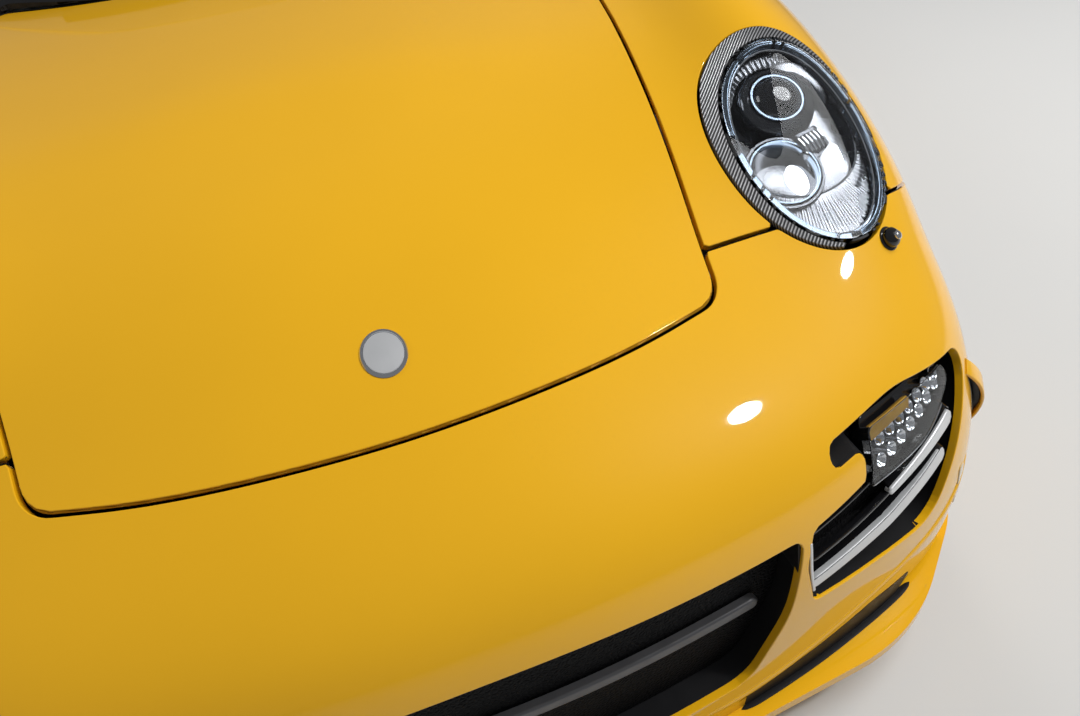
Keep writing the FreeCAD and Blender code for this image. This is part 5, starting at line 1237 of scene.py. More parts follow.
def lamp_dish():
    """The reflector: a round dish, then a shelf of radial ribs that rises to the lens's edge.

    The ribs are a sine of the angle round the dish. The edge is where a ray from the dish's
    middle meets the lens's ellipse, by the quadratic formula. A second layer 3 mm below closes it.
    """
    turn = np.arange(400) * 2 * np.pi / 400
    c, s = np.cos(turn), np.sin(turn)
    long, wide = LENS_LONG - 9.0, LENS_WIDE - 9.0
    off_a, off_b = DISH[0] - LENS_SHIFT[0], DISH[1] - LENS_SHIFT[1]
    two = (c / long) ** 2 + (s / wide) ** 2
    one = off_a * c / long ** 2 + off_b * s / wide ** 2
    none = (off_a / long) ** 2 + (off_b / wide) ** 2 - 1
    edge = (-one + np.sqrt(one ** 2 - two * none)) / two
    inner = np.minimum(DISH_R, edge - 5)
    rings = []
    for share in np.linspace(0, 1, 12):
        rings.append((inner * share, 36 + 20 * (1 - share ** 2) + 0 * turn))
    for share in np.linspace(0.02, 1, 9):
        radius = inner + 1 + (edge - inner - 1) * share
        ribs = RIB_HIGH * np.sin(LAMP_RIBS * turn) * min(1.0, 4 * share, 4 * (1 - share) + 0.2)
        rings.append((radius, 25 - 9 * share + ribs))
    rings += [(edge + 1.5, 10 + 0 * turn), (edge + 2.0, 5 + 0 * turn)]
    front = np.array([in_lamp(DISH[0] + r * c, DISH[1] + r * s, below) for r, below in rings])
    return np.concatenate([front, front[::-1] - 3.0 * LAMP_AXIS])


lamp_parts += lay("lamp_dish_l", lamp_dish(), satin_reflector, mirror=True, crease=50.0)
lamp_parts += sweep("lamp_arc_l", lamp_arc_path(DISH, DISH_R + 0.5, 24, -62, 108, 90),
                    circle(8, 1.8, 1.8), chrome, up=LAMP_AXIS, mirror=True,
                    scale=rounded_ends(90, 0.3))
lens_turn = np.radians(np.arange(0, 360, 3.0))
lamp_brow = in_lamp(LENS_SHIFT[0] + (LENS_LONG - 14) * np.cos(lens_turn),
                    LENS_SHIFT[1] + (LENS_WIDE - 14) * np.sin(lens_turn), 9)
lamp_parts += sweep("lamp_brow_l", lamp_brow, circle(8, 2.0, 2.0), chrome, up=LAMP_AXIS,
                    mirror=True, closed=True)
# Turned parts of the lamp: profile of (radius, depth), spot, finish, points round, stretch, ring
LAMP_TURNED = (
    ("projector_case_l", [(62, 60), (61, 40), (58, 30), (52, 22), (46, 19), (42, 21), (40, 28),
                          (39, 60), (0, 60)], PROJECTOR, dark_chrome, 64, 1.0, False),
    ("projector_ring_l", [(41, 40), (41, 24), (39, 21), (36, 21), (34.5, 24), (34.5, 40)],
     PROJECTOR, edge_chrome, 64, 1.0, True),
    ("projector_glass_l", [(35, 44), (35, 26), (33, 20), (28, 14.5), (20, 10.5), (10, 8), (0, 7)],
     PROJECTOR, dark_glass, 56, 1.0, False),
    ("bowl_l", [(0, 66), (30, 60), (54, 44), (60, 30), (59, 22), (57, 19), (54, 19), (52, 22),
                (50, 26), (44, 36), (34, 47), (20, 56), (8, 60), (0, 60.5)], BOWL, dark_chrome,
     64, 1.0, False),
    ("bowl_trim_l", [(52, 30), (52, 20), (50.8, 17), (48.6, 17), (47.5, 20), (47.5, 30)], BOWL,
     edge_chrome, 64, 1.0, True),
    ("bulb_l", [(0, 58), (9, 56), (14, 50), (15, 43), (12, 37), (7, 34), (0, 33)],
     (BOWL[0] + 9, BOWL[1] + 24), glow, 32, 1.75, False))
for name, profile, spot, finish, count, wide, ring in LAMP_TURNED:
    lamp_parts += lamp_turn(name, profile, spot, finish, count, wide, ring)
comb_run = unit(np.array([30.0, 9.0]))
for number in range(6):
    start = np.array([5.0, 3.0]) + number * np.array([-1.0, 6.6])
    ends = np.array([start, start + comb_run * 15, start + comb_run * 30])
    comb = smooth_path(in_lamp(ends[:, 0], ends[:, 1], np.array([23.0, 22.0, 26.0])), 14)
    lamp_parts += sweep("lamp_comb_%d_l" % number, comb, soft_box(1.9, 2.6, 1.2, 3), chrome,
                        up=LAMP_AXIS, mirror=True, scale=rounded_ends(14, 0.15))
lamp_parts += slab("lamp_comb_base_l", [(0, -2, 4), (-7, 40, 4), (27, 50, 4), (38, 10, 4)], 24.0,
                   58.0, lambda p: in_lamp(p[:, 0], p[:, 1], p[:, 2]), dark_chrome, radius=3.0,
                   mirror=True)
lamp_wing = smooth_path(in_lamp(
    np.array([-112.0, -100.0, -72.0, -40.0]), np.array([18.0, 52.0, 76.0, 84.0]),
    np.array([22.0, 20.0, 22.0, 28.0])), 40)
lamp_parts += sweep("lamp_wing_l", lamp_wing, soft_box(11, 5, 4, 4), satin_reflector,
                    up=LAMP_AXIS, mirror=True, scale=rounded_ends(40, 0.3))
for piece in lamp_parts:
    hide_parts("headlamp_bodies")


# Ducts, intake, lip and nose trim

BLADE_LOWER = [(424, 306, 5), (560, 318, 200), (684, 349, 9), (680, 371, 9), (560, 340, 200),
               (420, 324, 5)]
BLADE_UPPER = [(560, 371, 4), (706, 388, 8), (706, 408, 8), (560, 381, 4)]
BLADE_MIDDLE_HALF = [(0, 300, 0), (352, 300, 8), (352, 318, 8), (0, 318, 0)]
AMBER_WINDOW = [(541, 452, 1), (543, 466, 2), (628, 462, 2), (622, 451, 1)]
SIGNAL_LAMP = [(528, 402, 8), (540, 468, 8), (704, 458, 16), (720, 438, 12), (650, 403, 60)]

blades = []
for name, line in (("blade_lower_l", BLADE_LOWER), ("blade_upper_l", BLADE_UPPER)):
    blades += skin_piece(name, BODY, *DUCT_PATCH, [within("xz", line, 0.8)], satin_blade, "car",
                         step=6.0, face=-5.5, edge=3.2, back=9.0, mirror=True)
blades.append(skin_piece("blade_middle", BODY, *INTAKE_PATCH,
                         [within("xz", symmetric(BLADE_MIDDLE_HALF), 0.8)], satin_grey, "car",
                         step=7.0, face=-29.0, edge=4.0, back=12.0))
behind_skin("duct_blades", blades, gloss_black, gap=0.003)

skin_piece("intake_mesh", BODY, *INTAKE_PATCH, [within("xz", intake, -1.0)], black_mesh, "car",
           step=8.0, face=MESH_FACE, edge=0.8, back=MESH_THICK)
skin_piece("duct_mesh_l", BODY, *DUCT_PATCH, [within("xz", DUCT, -1.0)], black_mesh, "car",
           step=8.0, face=MESH_FACE, edge=0.8, back=MESH_THICK, mirror=True)


def nose_line(name, spots, depth, section, material, count=40, taper=0.04):
    """A strip along a line of (x, z) spots, laid on the nose's skin at a depth."""
    flat = smooth_path(np.column_stack([np.array(spots, float), np.zeros(len(spots))]), count)
    path, normals = on_skin(BODY, "xz", flat[:, :2], depth, at_nose)
    return sweep(name, path, section, material, up=normals, mirror=True,
                 scale=rounded_ends(count, taper))


nose_line("duct_rib_low_l", [(418, 356), (520, 366), (620, 382), (690, 396)], -14.0,
          soft_box(2.2, 5.0, 1.5, 3), gloss_black)
nose_line("duct_rib_high_l", [(416, 388), (520, 397), (600, 408)], -22.0,
          soft_box(2.0, 5.0, 1.5, 3), gloss_black)
nose_line("duct_edge_l", [(421, 312), (414, 356), (413, 404)], -4.0, soft_box(2.2, 4.5, 1.6, 4),
          satin_blade, taper=0.02)

# The ridge over the lip's slot, black sheets of painted shade for the slot and in the lip, and the
# ear on the bumper's corner
nose_line("lip_ridge_l", [(250, 141), (330, 141), (420, 154), (520, 176), (610, 197), (684, 216),
                          (736, 250), (758, 300)], -1.5, circle(14, 9.0, 4.2), paint, 60, 0.2)
# A flush black sheet in the slot: painted shade instead of a recess
skin_piece("lip_slot_l", BODY, (0.0, 3.4), (8.0, 12.0), [
    within("xz", LIP_SLOT, 1.5), lambda p: p[:, 2] - 107], black_plastic, "car", step=6.0,
    face=0.5, edge=0.4, hem=5.0, mirror=True)


def lip_shade_line():
    """The lip's black line, painted shade along the slot's lower edge: the nose's line just over
    it, moved straight out and set level.
    """
    spots = np.column_stack([np.linspace(318, 652, 50), np.full(50, 112.0)])
    path, out = on_skin(BODY, "xz", spots, 0.0, at_nose)
    path = path + unit(out * [1, 1, 0]) * 3.0
    path[:, 2] = 106.4
    return path


# A thin black strip laid on the lip: painted shade
sweep("lip_channel_l", lip_shade_line(), soft_box(6.0, 0.9, 0.8, 3), black_plastic, up=(0, 0, 1),
      mirror=True, scale=rounded_ends(50, 0.10))

EAR_MIDDLE = (-1994.0, 358.0)
EAR_HALF_HIGH = 60.0
EAR_OUT = 15.0


def corner_ear():
    """The ear, and its black core that shows as painted shade of a slit, stand off the skin by a
    parabola of the height's share.
    """
    share = np.linspace(-1, 1, 36)
    line = np.column_stack([EAR_MIDDLE[0] - 4 * share, EAR_MIDDLE[1] + EAR_HALF_HIGH * share])
    base, out = on_skin(BODY, "yz", line, 0.0, on_side(CORNER_SIDE_X))
    stand = (EAR_OUT * (1 - share ** 2) - 1)[:, None]
    # The black core shows as a crescent out of the ear's front: painted shade of a slit
    sweep("corner_ear_core_l", base + out * stand * 0.45, soft_box(9.0, 6.0, 3.0, 4),
          black_plastic, up=out, mirror=True, scale=0.15 + 0.85 * (1 - share ** 2))
    sweep("corner_ear_l", base + out * stand, soft_box(13.0, 2.6, 2.4, 4), paint, up=out,
          mirror=True)


corner_ear()
# Slits by the bumper's corner, round the ear: flush black sheets on the painted skin, painted shade
CORNER_SLIT_SHADE = [(-2014, 328, 10), (-1982, 330, 10), (-1976, 408, 10), (-2006, 406, 10)]
skin_piece("corner_slit_l", BODY, (2.0, 6.5), (10.5, 13.0), [
    within("yz", CORNER_SLIT_SHADE, 0.0, on_side(CORNER_SIDE_X))], gloss_black, "car", step=6.0,
    face=0.7, edge=0.6, hem=3.0, mirror=True)

# The signal lamp: a clear cover over rows of small bowls, an amber window and a bright edge
lamp_tray = skin_piece("signal_tray_l", BODY, *SIGNAL_PATCH, [within("xz", SIGNAL_LAMP, -1.5)],
                       gloss_black, "car", step=5.0, face=-24.0, edge=1.0, back=20.0, mirror=True)
lamp_rim = skin_piece("signal_rim_l", BODY, *SIGNAL_PATCH, [
    within("xz", SIGNAL_LAMP), beyond("xz", SIGNAL_LAMP, -3.0)], gloss_black, "car", step=4.0,
    face=-8.4, edge=0.6, hem=26.0, mirror=True)
lamp_cover = skin_piece("signal_cover_l", BODY, *SIGNAL_PATCH, [within("xz", SIGNAL_LAMP, -0.5)],
                        clear, "car", step=7.0, face=-7.2, edge=0.8, back=1.8, mirror=True)
for piece in lamp_tray + lamp_rim + lamp_cover:
    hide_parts("signal_lamps")
skin_piece("signal_amber_l", BODY, *SIGNAL_PATCH, [within("xz", AMBER_WINDOW)], amber, "car",
           step=4.0, face=-10.0, edge=0.8, back=5.0, mirror=True)


def signal_spots():
    """Two rows of seven (x, z) spots that rise outwards by a straight share and k ** 1.5."""
    lower = [(552 + 21.5 * k, 417 + 1.2 * k + 0.9 * k ** 1.5) for k in range(7)]
    upper = [(556 + 21.5 * k, 440 + 0.4 * k + 0.25 * k ** 1.5) for k in range(7)]
    return np.array(lower + upper)


SIGNAL_BOWL = [(0, -2), (9.6, -2), (10.0, 9), (9.2, 9.6), (8.2, 8.6), (6.5, 4.2), (4.0, 1.6),
               (3.2, 1.6), (2.6, 3.2), (0, 3.8)]
places, normals = on_skin(BODY, "xz", signal_spots(), -23.0, at_nose)
for number, (place, normal) in enumerate(zip(places, normals)):
    spun("signal_bowl_%02d_l" % number, SIGNAL_BOWL, place, normal, chrome, count=20, mirror=True)
nose_line("signal_edge_l", [(529, 405), (580, 402.5), (640, 404), (690, 420)], -8.0,
          circle(8, 1.3, 1.3), chrome, 30)

# Side marker, washer nozzle and a blank badge
SIDE_MARKER = [(744, 196, 7), (728, 292, 7), (742, 298, 7), (760, 202, 7)]
skin_piece("side_marker_l", BODY, (1.4, 3.2), (11.2, 12.6), [within("xz", SIDE_MARKER)],
           marker_lens, "car", step=4.0, face=1.6, edge=1.4, hem=5.0, mirror=True)
nozzle_spot, nozzle_normal = on_skin(BODY, "xz", [(700, 585)], 0.0, at_nose)
spun("nozzle_l", [(0, -5), (15, -5), (15.5, 0.5), (14, 1.6), (12.4, 1.8), (12.8, 4), (12.0, 9),
                  (8.5, 13), (4, 14.8), (0, 15.2)], nozzle_spot[0], nozzle_normal[0], gloss_black,
     count=36, mirror=True, wide=1.15, across=(0, -1, 0))
spun("nozzle_cap_l", [(0, 11), (6.5, 11.5), (6.2, 14.6), (4.5, 15.8), (0, 16.2)],
     nozzle_spot[0] + [2.0, -1.0, 0.0], nozzle_normal[0], chrome, count=28, mirror=True)
BADGE = (0.0, -1892.0)
badge_spot, badge_normal = on_skin(BODY, "xy", [BADGE], 0.0, lambda p: p[:, 2] > 500)
spun("badge_rim", [(0, -1), (27.5, -1), (28, 0.8), (26.8, 2.4), (24.6, 2.2), (24.2, 1.2), (0, 1.2)],
     badge_spot[0], badge_normal[0], chrome, "luggage_lid", 64, wide=1.2, across=(0, 1, 0))
spun("badge_face", [(0, 0.5), (24.0, 0.6), (23.2, 2.0), (12, 2.9), (0, 3.3)], badge_spot[0],
     badge_normal[0], satin_blade, "luggage_lid", 64, wide=1.2, across=(0, 1, 0))


# Glass borders and seals

BORDER_WIDE = 46.0
SIDE_BORDER_WIDE = 24.0
FRAME_REACH_X = 722.0
for name, _, plane, line, u_range, v_range, near, body, replaced in GLASS:
    sided = len(replaced) == 2
    side, wide = ("_l", SIDE_BORDER_WIDE) if sided else ("", BORDER_WIDE)
    skin_piece(name + "_border" + side, CABIN, u_range, v_range,
               [within(plane, line, -GLASS_GAP - 1.0, near),
                beyond(plane, line, -GLASS_GAP - wide, near)], gloss_black, body, step=12.0,
               face=-6.2, edge=0.3, back=0.9, mirror=sided)
    skin_piece(name + "_seal" + side, CABIN, u_range, v_range,
               [within(plane, line, -0.4, near), beyond(plane, line, -GLASS_GAP + 0.4, near),
                lambda p: np.where(body == "car", 50.0, FRAME_REACH_X - p[:, 0])],
               rubber, "car", step=10.0, face=-1.2, edge=0.7, hem=7.0, mirror=sided)


# Wheels

FRONT_WHEEL_X = 745.0
REAR_WHEEL_X = 765.0
FRONT_DISC_X = 767.0
REAR_DISC_X = 807.0
BOLT_R = 56.0
VALVE_R = 215.0
BOLTS = 5
HUB_INSET = 18.0
BOLT_INSET = 5.5
VALVE_INSET = 14.0
SHOULDER_SLOTS = 48
SLOT_DEPTH = 4.5
GROOVE_DEPTH = 7.0


def tyre_rings(radius, half, rim_half, x_mid, axle, grooves):
    """A tyre as rings round its axle: bulging walls, and a tread with grooves and slots.

    Each ring is one point of the section turned round the axle. Where a point has a slot share,
    its radius falls by that share of the slot's depth times a raised cosine of the angle.
    """
    wall = radius - RIM_R
    side = [(-rim_half + 13, RIM_R + 0.4, 0), (-rim_half + 8, RIM_R + 1.5, 0),
            (-rim_half + 7.6, RIM_R + 9, 0), (-rim_half + 3, RIM_R + 12, 0),
            (-half + 2.5, RIM_R + wall * 0.3, 0), (-half, RIM_R + wall * 0.5, 0),
            (-half + 2, RIM_R + wall * 0.7, 0), (-half + 5, radius - 20, 0),
            (-half + 9, radius - 12, 1), (-half + 16, radius - 6.5, 1),
            (-half + 27, radius - 3.2, 1)]
    tread = []
    for place in grooves:
        rise = 2.6 * (place / half) ** 2
        floor_r = radius - rise - GROOVE_DEPTH
        tread += [(place - 5.5, radius - rise, 0.6), (place - 4.5, floor_r, 0),
                  (place + 4.5, floor_r, 0), (place + 5.5, radius - rise, 0.6)]
    x, r, slot = np.array(side + tread + [(-a, b, c) for a, b, c in reversed(side)]).T
    turn = np.arange(6 * SHOULDER_SLOTS) * 2 * np.pi / (6 * SHOULDER_SLOTS)
    wave = np.clip(3 * np.cos(SHOULDER_SLOTS * turn) - 1, 0, 1)
    reach = r[:, None] - SLOT_DEPTH * slot[:, None] * wave
    return np.stack([np.broadcast_to(x_mid + x[:, None], reach.shape),
                     axle[1] + reach * np.sin(turn), axle[2] + reach * np.cos(turn)], -1)


# Profiles of (radius, height) along the axle
CAP = [(0, -10), (34, -10), (34.6, -3), (33, 0.8), (29, 1.8), (22, 0.8), (0, 0.2)]
BOLT = [(0, -8), (11.5, -8), (11.5, 1.6), (10.2, 2.8), (7.2, 2.8), (6.4, -2), (0, -2)]
VALVE = [(0, -6), (4.4, -6), (3.6, 14), (4.2, 15), (4.2, 25), (2.6, 27), (0, 27)]
ROTOR = [(96, -15.4), (174, -15.4), (174.8, -14.6), (174.8, 14.6), (174, 15.4), (96, 15.4)]
# Columns: place, axle, tyre's radius, wheel's middle, half widths of tyre and rim, disc's x, and
# where the tread's grooves run
WHEELS = (
    ("front", FRONT_AXLE, FRONT_TYRE_R, FRONT_WHEEL_X, 117.5, 108.0, FRONT_DISC_X,
     (-68, -24, 24, 68)),
    ("rear", REAR_AXLE, REAR_TYRE_R, REAR_WHEEL_X, 150.0, 140.0, REAR_DISC_X,
     (-96, -34, 34, 96)))
SIDEWAYS = np.array([1.0, 0.0, 0.0])
for name, axle, radius, wheel_x, half, rim_half, disc_x, grooves in WHEELS:
    body = "wheel_%s_left" % name
    treads = lay(name + "_tread_l", tyre_rings(radius, half, rim_half, wheel_x, axle, grooves),
                 tyre_rubber, body, mirror=True, crease=38.0, closed=True)
    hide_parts(name + "_tyre_l")
    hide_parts(name + "_tyre_r")
    spun(name + "_rotor_l", ROTOR, axle + SIDEWAYS * disc_x, SIDEWAYS, steel, body, 72, True,
         closed=True)
    hub = axle + SIDEWAYS * (wheel_x + rim_half - HUB_INSET)
    spun(name + "_cap_l", CAP, hub, SIDEWAYS, satin_grey, body, 40, True)
    for number in range(BOLTS):
        turn = math.radians(360 / BOLTS * (number + 0.5))
        spoke = np.array([0.0, math.sin(turn), math.cos(turn)])
        bolt_spot = hub + spoke * BOLT_R - SIDEWAYS * BOLT_INSET
        spun("%s_bolt_%d_l" % (name, number), BOLT, bolt_spot, SIDEWAYS, steel, body, 12, True,
             crease=30.0)
        if number == 0:
            valve_spot = hub + spoke * VALVE_R - SIDEWAYS * VALVE_INSET
            spun(name + "_valve_l", VALVE, valve_spot, SIDEWAYS - 0.5 * spoke, rubber, body, 14,
                 True)


# Tail, doors and mirrors

red_lens = Finish("red_lamp_lens", (0.42, 0.012, 0.010), 0.08, Coat_Weight=1.0,
                  Coat_Roughness=0.03).waves(70, 0.3, (0, 0, 0.0), 0.0008).material
lamp_side = mirrored_trim(within("xz", TAIL_LAMP, -1.0,
                                 lambda p: p[:, 1] > TAIL_LAMP_FRONT_Y + 1))
tail_lens = skin_piece("tail_lens", BODY, *TAIL_PATCH, [lamp_side], red_lens, "car",
                       step=10.0, face=2.6, edge=1.6, back=6.0)
behind_skin("tail_lamps", [tail_lens], gloss_black, gap=0.003)
VENT_MESH = mirrored_trim(within("xz", TAIL_VENT, 4.0, lambda p: p[:, 1] > TAIL_FACE_Y))
skin_piece("tail_vent_mesh", BODY, *TAIL_PATCH, [VENT_MESH], black_mesh, "car",
           step=12.0, face=-16.0, edge=0.6, back=3.0)
spun("exhaust_tip_l", [(36.4, -70), (36.4, 4), (38, 8), (41, 9.5), (43.5, 8), (44.2, 3),
                       (43.2, -70)], EXHAUST_TIP, (0, 1, 0), chrome, count=56, mirror=True,
     closed=True)



def handle_path():
    """The door handle's bow: a line on the door's skin that stands off it between its feet."""
    bow = smooth_path([(872, 214, 742), (896, 226, 744), (905, 262, 746), (907, 296, 747),
                       (899, 338, 747), (878, 352, 746)], 44)
    fitted = on_skin(BODY, "yz", bow[:, 1:], 0.0, on_side(HANDLE_SIDE_X))[0]
    stand = np.interp(np.linspace(0, 1, 44), [0, 0.18, 0.82, 1], [-6, 22, 22, -6])
    return fitted + stand[:, None] * [1.0, 0, 0.05]


sweep("door_handle_l", handle_path(), soft_box(12, 5.5, 5, 4), paint, "door_left", up=(1, 0, 0),
      mirror=True)
MIRROR_CENTRE = np.array([905.0, -560.0, 905.0])
spun("mirror_glass_l", [(0, -1), (62, -1), (62.5, 0.6), (61, 1.8), (0, 2.2)],
     MIRROR_CENTRE + [0, 22.5, 0], (0, 1, 0), mirror_silver, "door_left", 56, True, wide=1.46,
     across=(1, 0, 0))


# Seats, instrument panel and steering wheel

def pad(name, x_mid, spine, half_widths, thick, seams):
    """A crowned pad along a (y, z) spine, closed by a flatter back, with sewn channels across.

    Height over the spine = thick * sqrt(1 - s ** 6) * sqrt(1 - t ** 8) less a bell at each seam,
    with s across and t along, both from -1 to 1. Its sides pull in between the corners.
    """
    columns, rows = 33, 45
    line = smooth_path(np.column_stack([np.array(spine, float), np.zeros(len(spine))]), rows)
    tangent = unit(np.gradient(line[:, :2], axis=0))
    out = np.stack([-tangent[:, 1], tangent[:, 0]], 1)
    s = np.sin(np.linspace(-1, 1, columns) * np.pi / 2)[None]
    t = np.linspace(-1, 1, rows)[:, None]
    wide = np.interp(np.linspace(0, 1, rows), np.linspace(0, 1, len(half_widths)), half_widths)
    pull = 1 - 0.03 * (1 - s ** 2) * t ** 4
    crown = np.sqrt(np.maximum(1 - s ** 6, 0)) * np.sqrt(np.maximum(1 - t ** 8, 0))
    dent = sum((0.32 * np.exp(-((t - place) / 0.022) ** 2) for place in seams), np.zeros_like(t))
    ends = 1 - 0.12 * t ** 12
    sheets, faces = [], []
    for sense, share in ((1.0, 1.0), (-1.0, 0.55)):
        high = sense * share * thick * crown * (1 - (dent * (1 - s ** 8) if sense > 0 else 0))
        x = x_mid + s * wide[:, None] * ends * (1 - 0.03 * (1 - t ** 2))
        y = line[:, :1] + out[:, :1] * high * pull
        z = line[:, 1:2] + out[:, 1:] * high * pull
        sheets.append(np.stack([x, y, z], -1).reshape(-1, 3))
        i, j = (g.ravel() for g in np.meshgrid(np.arange(rows - 1), np.arange(columns - 1),
                                               indexing="ij"))
        start = i * columns + j + (0 if sense > 0 else rows * columns)
        quad = np.stack([start, start + 1, start + columns + 1, start + columns], 1)
        faces += (quad if sense > 0 else quad[:, ::-1]).tolist()
    points = np.vstack(sheets) * 0.001
    return [smooth_mesh(name, points, faces, leather, "car", 60.0, True),
            smooth_mesh(name[:-1] + "r", points * [-1, 1, 1], faces, leather, "car", 60.0, True)]


def pads(rows):
    """Left and right pads, one pair for each row of pad's values."""
    return [piece for row in rows for piece in pad(*row)]


def roll(name, x_start, x_end, spots, wide, high):
    """A padded side roll: an oval section along (y, z) spots, with rounded ends."""
    line = smooth_path(np.column_stack([np.linspace(x_start, x_end, len(spots)),
                                        np.array(spots, float)]), 40)
    return sweep(name, line, circle(18, wide, high), leather, up=(1, 0, 0), mirror=True,
                 scale=rounded_ends(40, 0.14))


SEAT_X = 370.0
REAR_SEAT_X = 330.0
# Columns: name, middle x, (y, z) spine, half widths, thickness, seams
FRONT_PADS = (
    ("seat_cushion_l", SEAT_X, [(-322, 405), (-250, 424), (-120, 412), (20, 392), (92, 392)],
     [150, 158, 160, 155], 34.0, (-0.55, -0.2, 0.15, 0.5)),
    ("seat_back_l", SEAT_X, [(232, 930), (196, 800), (150, 650), (112, 520), (88, 400)],
     [128, 160, 165, 150], 34.0, (-0.5, -0.2, 0.1, 0.4, 0.68)),
    ("seat_head_l", SEAT_X, [(262, 1006), (238, 930), (216, 850)], [92, 130, 120], 30.0, ()),
    ("seat_frame_l", SEAT_X, [(300, 1000), (288, 860), (216, 620), (160, 400), (130, 300)],
     [105, 225, 238, 232, 200], 52.0, ()),
    ("seat_pan_l", SEAT_X, [(-326, 380), (-180, 384), (0, 356), (128, 340)],
     [205, 232, 236, 220], 52.0, ()))
REAR_PADS = (
    ("rear_cushion_l", REAR_SEAT_X, [(384, 396), (440, 408), (520, 396), (578, 392)],
     [176, 186, 180], 30.0, (-0.3, 0.3)),
    ("rear_back_l", REAR_SEAT_X, [(606, 830), (590, 680), (566, 520), (552, 410)],
     [150, 182, 184], 30.0, (-0.45, -0.1, 0.25)))
soft = pads(FRONT_PADS)
for name, side in (("outer", 1), ("inner", -1)):
    soft += roll("cushion_roll_%s_l" % name, SEAT_X + side * 196, SEAT_X + side * 204,
                 [(-312, 414), (-220, 434), (-80, 424), (60, 412)], 36.0, 44.0)
    soft += roll("back_roll_%s_l" % name, SEAT_X + side * 206, SEAT_X + side * 178,
                 [(84, 440), (104, 560), (150, 720), (214, 870)], 38.0, 46.0)
soft += pads(REAR_PADS)
for piece in soft:
    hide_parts("seats")
bases = []
for name, x_mid, half, y_low, y_high, top in (
        ("seat_base_l", SEAT_X, 196.0, -286.0, 130.0, 356.0),
        ("rear_seat_base_l", REAR_SEAT_X, 184.0, 390.0, 600.0, 400.0)):
    bases += slab(name, [(x_mid - half, y_low, 40), (x_mid + half, y_low, 40),
                         (x_mid + half, y_high, 40), (x_mid - half, y_high, 40)],
                  FLOOR_TOP_Z + 0.5, top, lambda p: p, carpet, radius=6.0, mirror=True)
for piece in bases:
    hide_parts("seats")

WHEEL_SPOT = np.array([SEAT_X, -385.0, 725.0])
WHEEL_R = 183.0
WHEEL_AXIS = unit((0.0, 0.93, 0.36))
WHEEL_UP = np.cross(WHEEL_AXIS, SIDEWAYS)
turn = np.arange(72) * 2 * np.pi / 72
rim_path = WHEEL_SPOT + WHEEL_R * (np.cos(turn)[:, None] * SIDEWAYS
                                   + np.sin(turn)[:, None] * WHEEL_UP)
wheel_parts = [sweep("steering_rim", rim_path, circle(16, 14.5, 14.5), leather, "steering_wheel",
                     up=WHEEL_AXIS, closed=True)]
wheel_parts.append(spun("steering_pad", [(0, -12), (58, -12), (61, -6), (60, 10), (54, 18),
                                         (40, 23), (18, 25.5), (0, 26)], WHEEL_SPOT, WHEEL_AXIS,
                        black_plastic, "steering_wheel", 48))
for number, degrees in enumerate((0, 180, 270)):
    away = (math.cos(math.radians(degrees)) * SIDEWAYS
            + math.sin(math.radians(degrees)) * WHEEL_UP * -1)
    start = WHEEL_SPOT + WHEEL_AXIS * 4
    path = np.linspace(start + away * 40, start + away * 176, 12)
    wheel_parts.append(sweep("steering_spoke_%d" % number, path, soft_box(15, 6, 5, 4),
                             satin_blade, "steering_wheel", up=WHEEL_AXIS,
                             scale=np.linspace(1.25, 0.85, 12)))
for piece in wheel_parts:
    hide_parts("steering_wheel")

DIAL_AXIS = unit((0.0, 0.985, 0.17))
# How far each dial lies from the middle one, and its radius
DIALS = ((0, 52), (-88, 42), (88, 42), (-160, 33), (160, 33))
for number, (across, size) in enumerate(DIALS):
    spot = np.array([SEAT_X + across, -489.0, 752.0 - abs(across) * 0.06])
    spun("dial_rim_%d" % number, [(size - 4, -16), (size - 4, 5), (size - 2, 8), (size, 6),
                                  (size, -16)], spot, DIAL_AXIS, satin_grey, count=48, closed=True)
    spun("dial_face_%d" % number, [(0, -10), (size - 4, -10), (size - 4.5, 1), (0, 1.4)], spot,
         DIAL_AXIS, gloss_black, count=40)
hood = smooth_path([(168, -545, 800), (210, -535, 832), (290, -528, 850), (370, -526, 856),
                    (450, -528, 850), (530, -535, 832), (572, -545, 800)], 50)
sweep("dial_hood", hood, soft_box(46, 5, 4, 4), leather, up=(0, 0, 1),
      scale=rounded_ends(50, 0.05))


VENT_Y = -486.0
VENT_Z = 690.0
VENT_LEAN = 0.166


def vent_place(across):
    """Turns a vent's flat (a, b, h) points into the car's, on the panel's leaning face."""
    return lambda p: np.column_stack([
        p[:, 0] + across, VENT_Y - VENT_LEAN * (p[:, 1] - 20) + p[:, 2], VENT_Z + p[:, 1]])


for number, across in enumerate((-600, -80, 80, 650)):
    spot = vent_place(across)
    slab("vent_frame_%d" % number, [(-46, -26, 9), (46, -26, 9), (46, 26, 9), (-46, 26, 9)],
         -8.0, 6.0, spot, satin_grey, radius=2.0)
    for row in range(4):
        slab("vent_slat_%d_%d" % (number, row),
             [(-40, -20 + 11 * row, 1), (40, -20 + 11 * row, 1), (40, -15 + 11 * row, 1),
              (-40, -15 + 11 * row, 1)], 4.0, 8.0, spot, gloss_black, radius=0.8)
slab("console", [(-560, 300, 30), (-560, 560, 60), (-470, 500, 40), (-80, 400, 30), (260, 380, 30),
                 (260, 300, 10)], -88.0, 88.0,
     lambda p: np.column_stack([p[:, 2], p[:, 0], p[:, 1]]), leather, radius=10.0)
spun("gear_boot", [(0, -4), (44, -4), (42, 6), (28, 30), (17, 52), (0, 53)], (0, -250, 436),
     (0, -0.2, 1), leather, count=32)
spun("gear_knob", [(0, 0), (9, 0), (9, 34), (17, 42), (22, 56), (20, 70), (10, 79), (0, 80)],
     (0, -260, 486), (0, -0.2, 1), satin_grey, count=32)


# The other solids, smoothed and finished

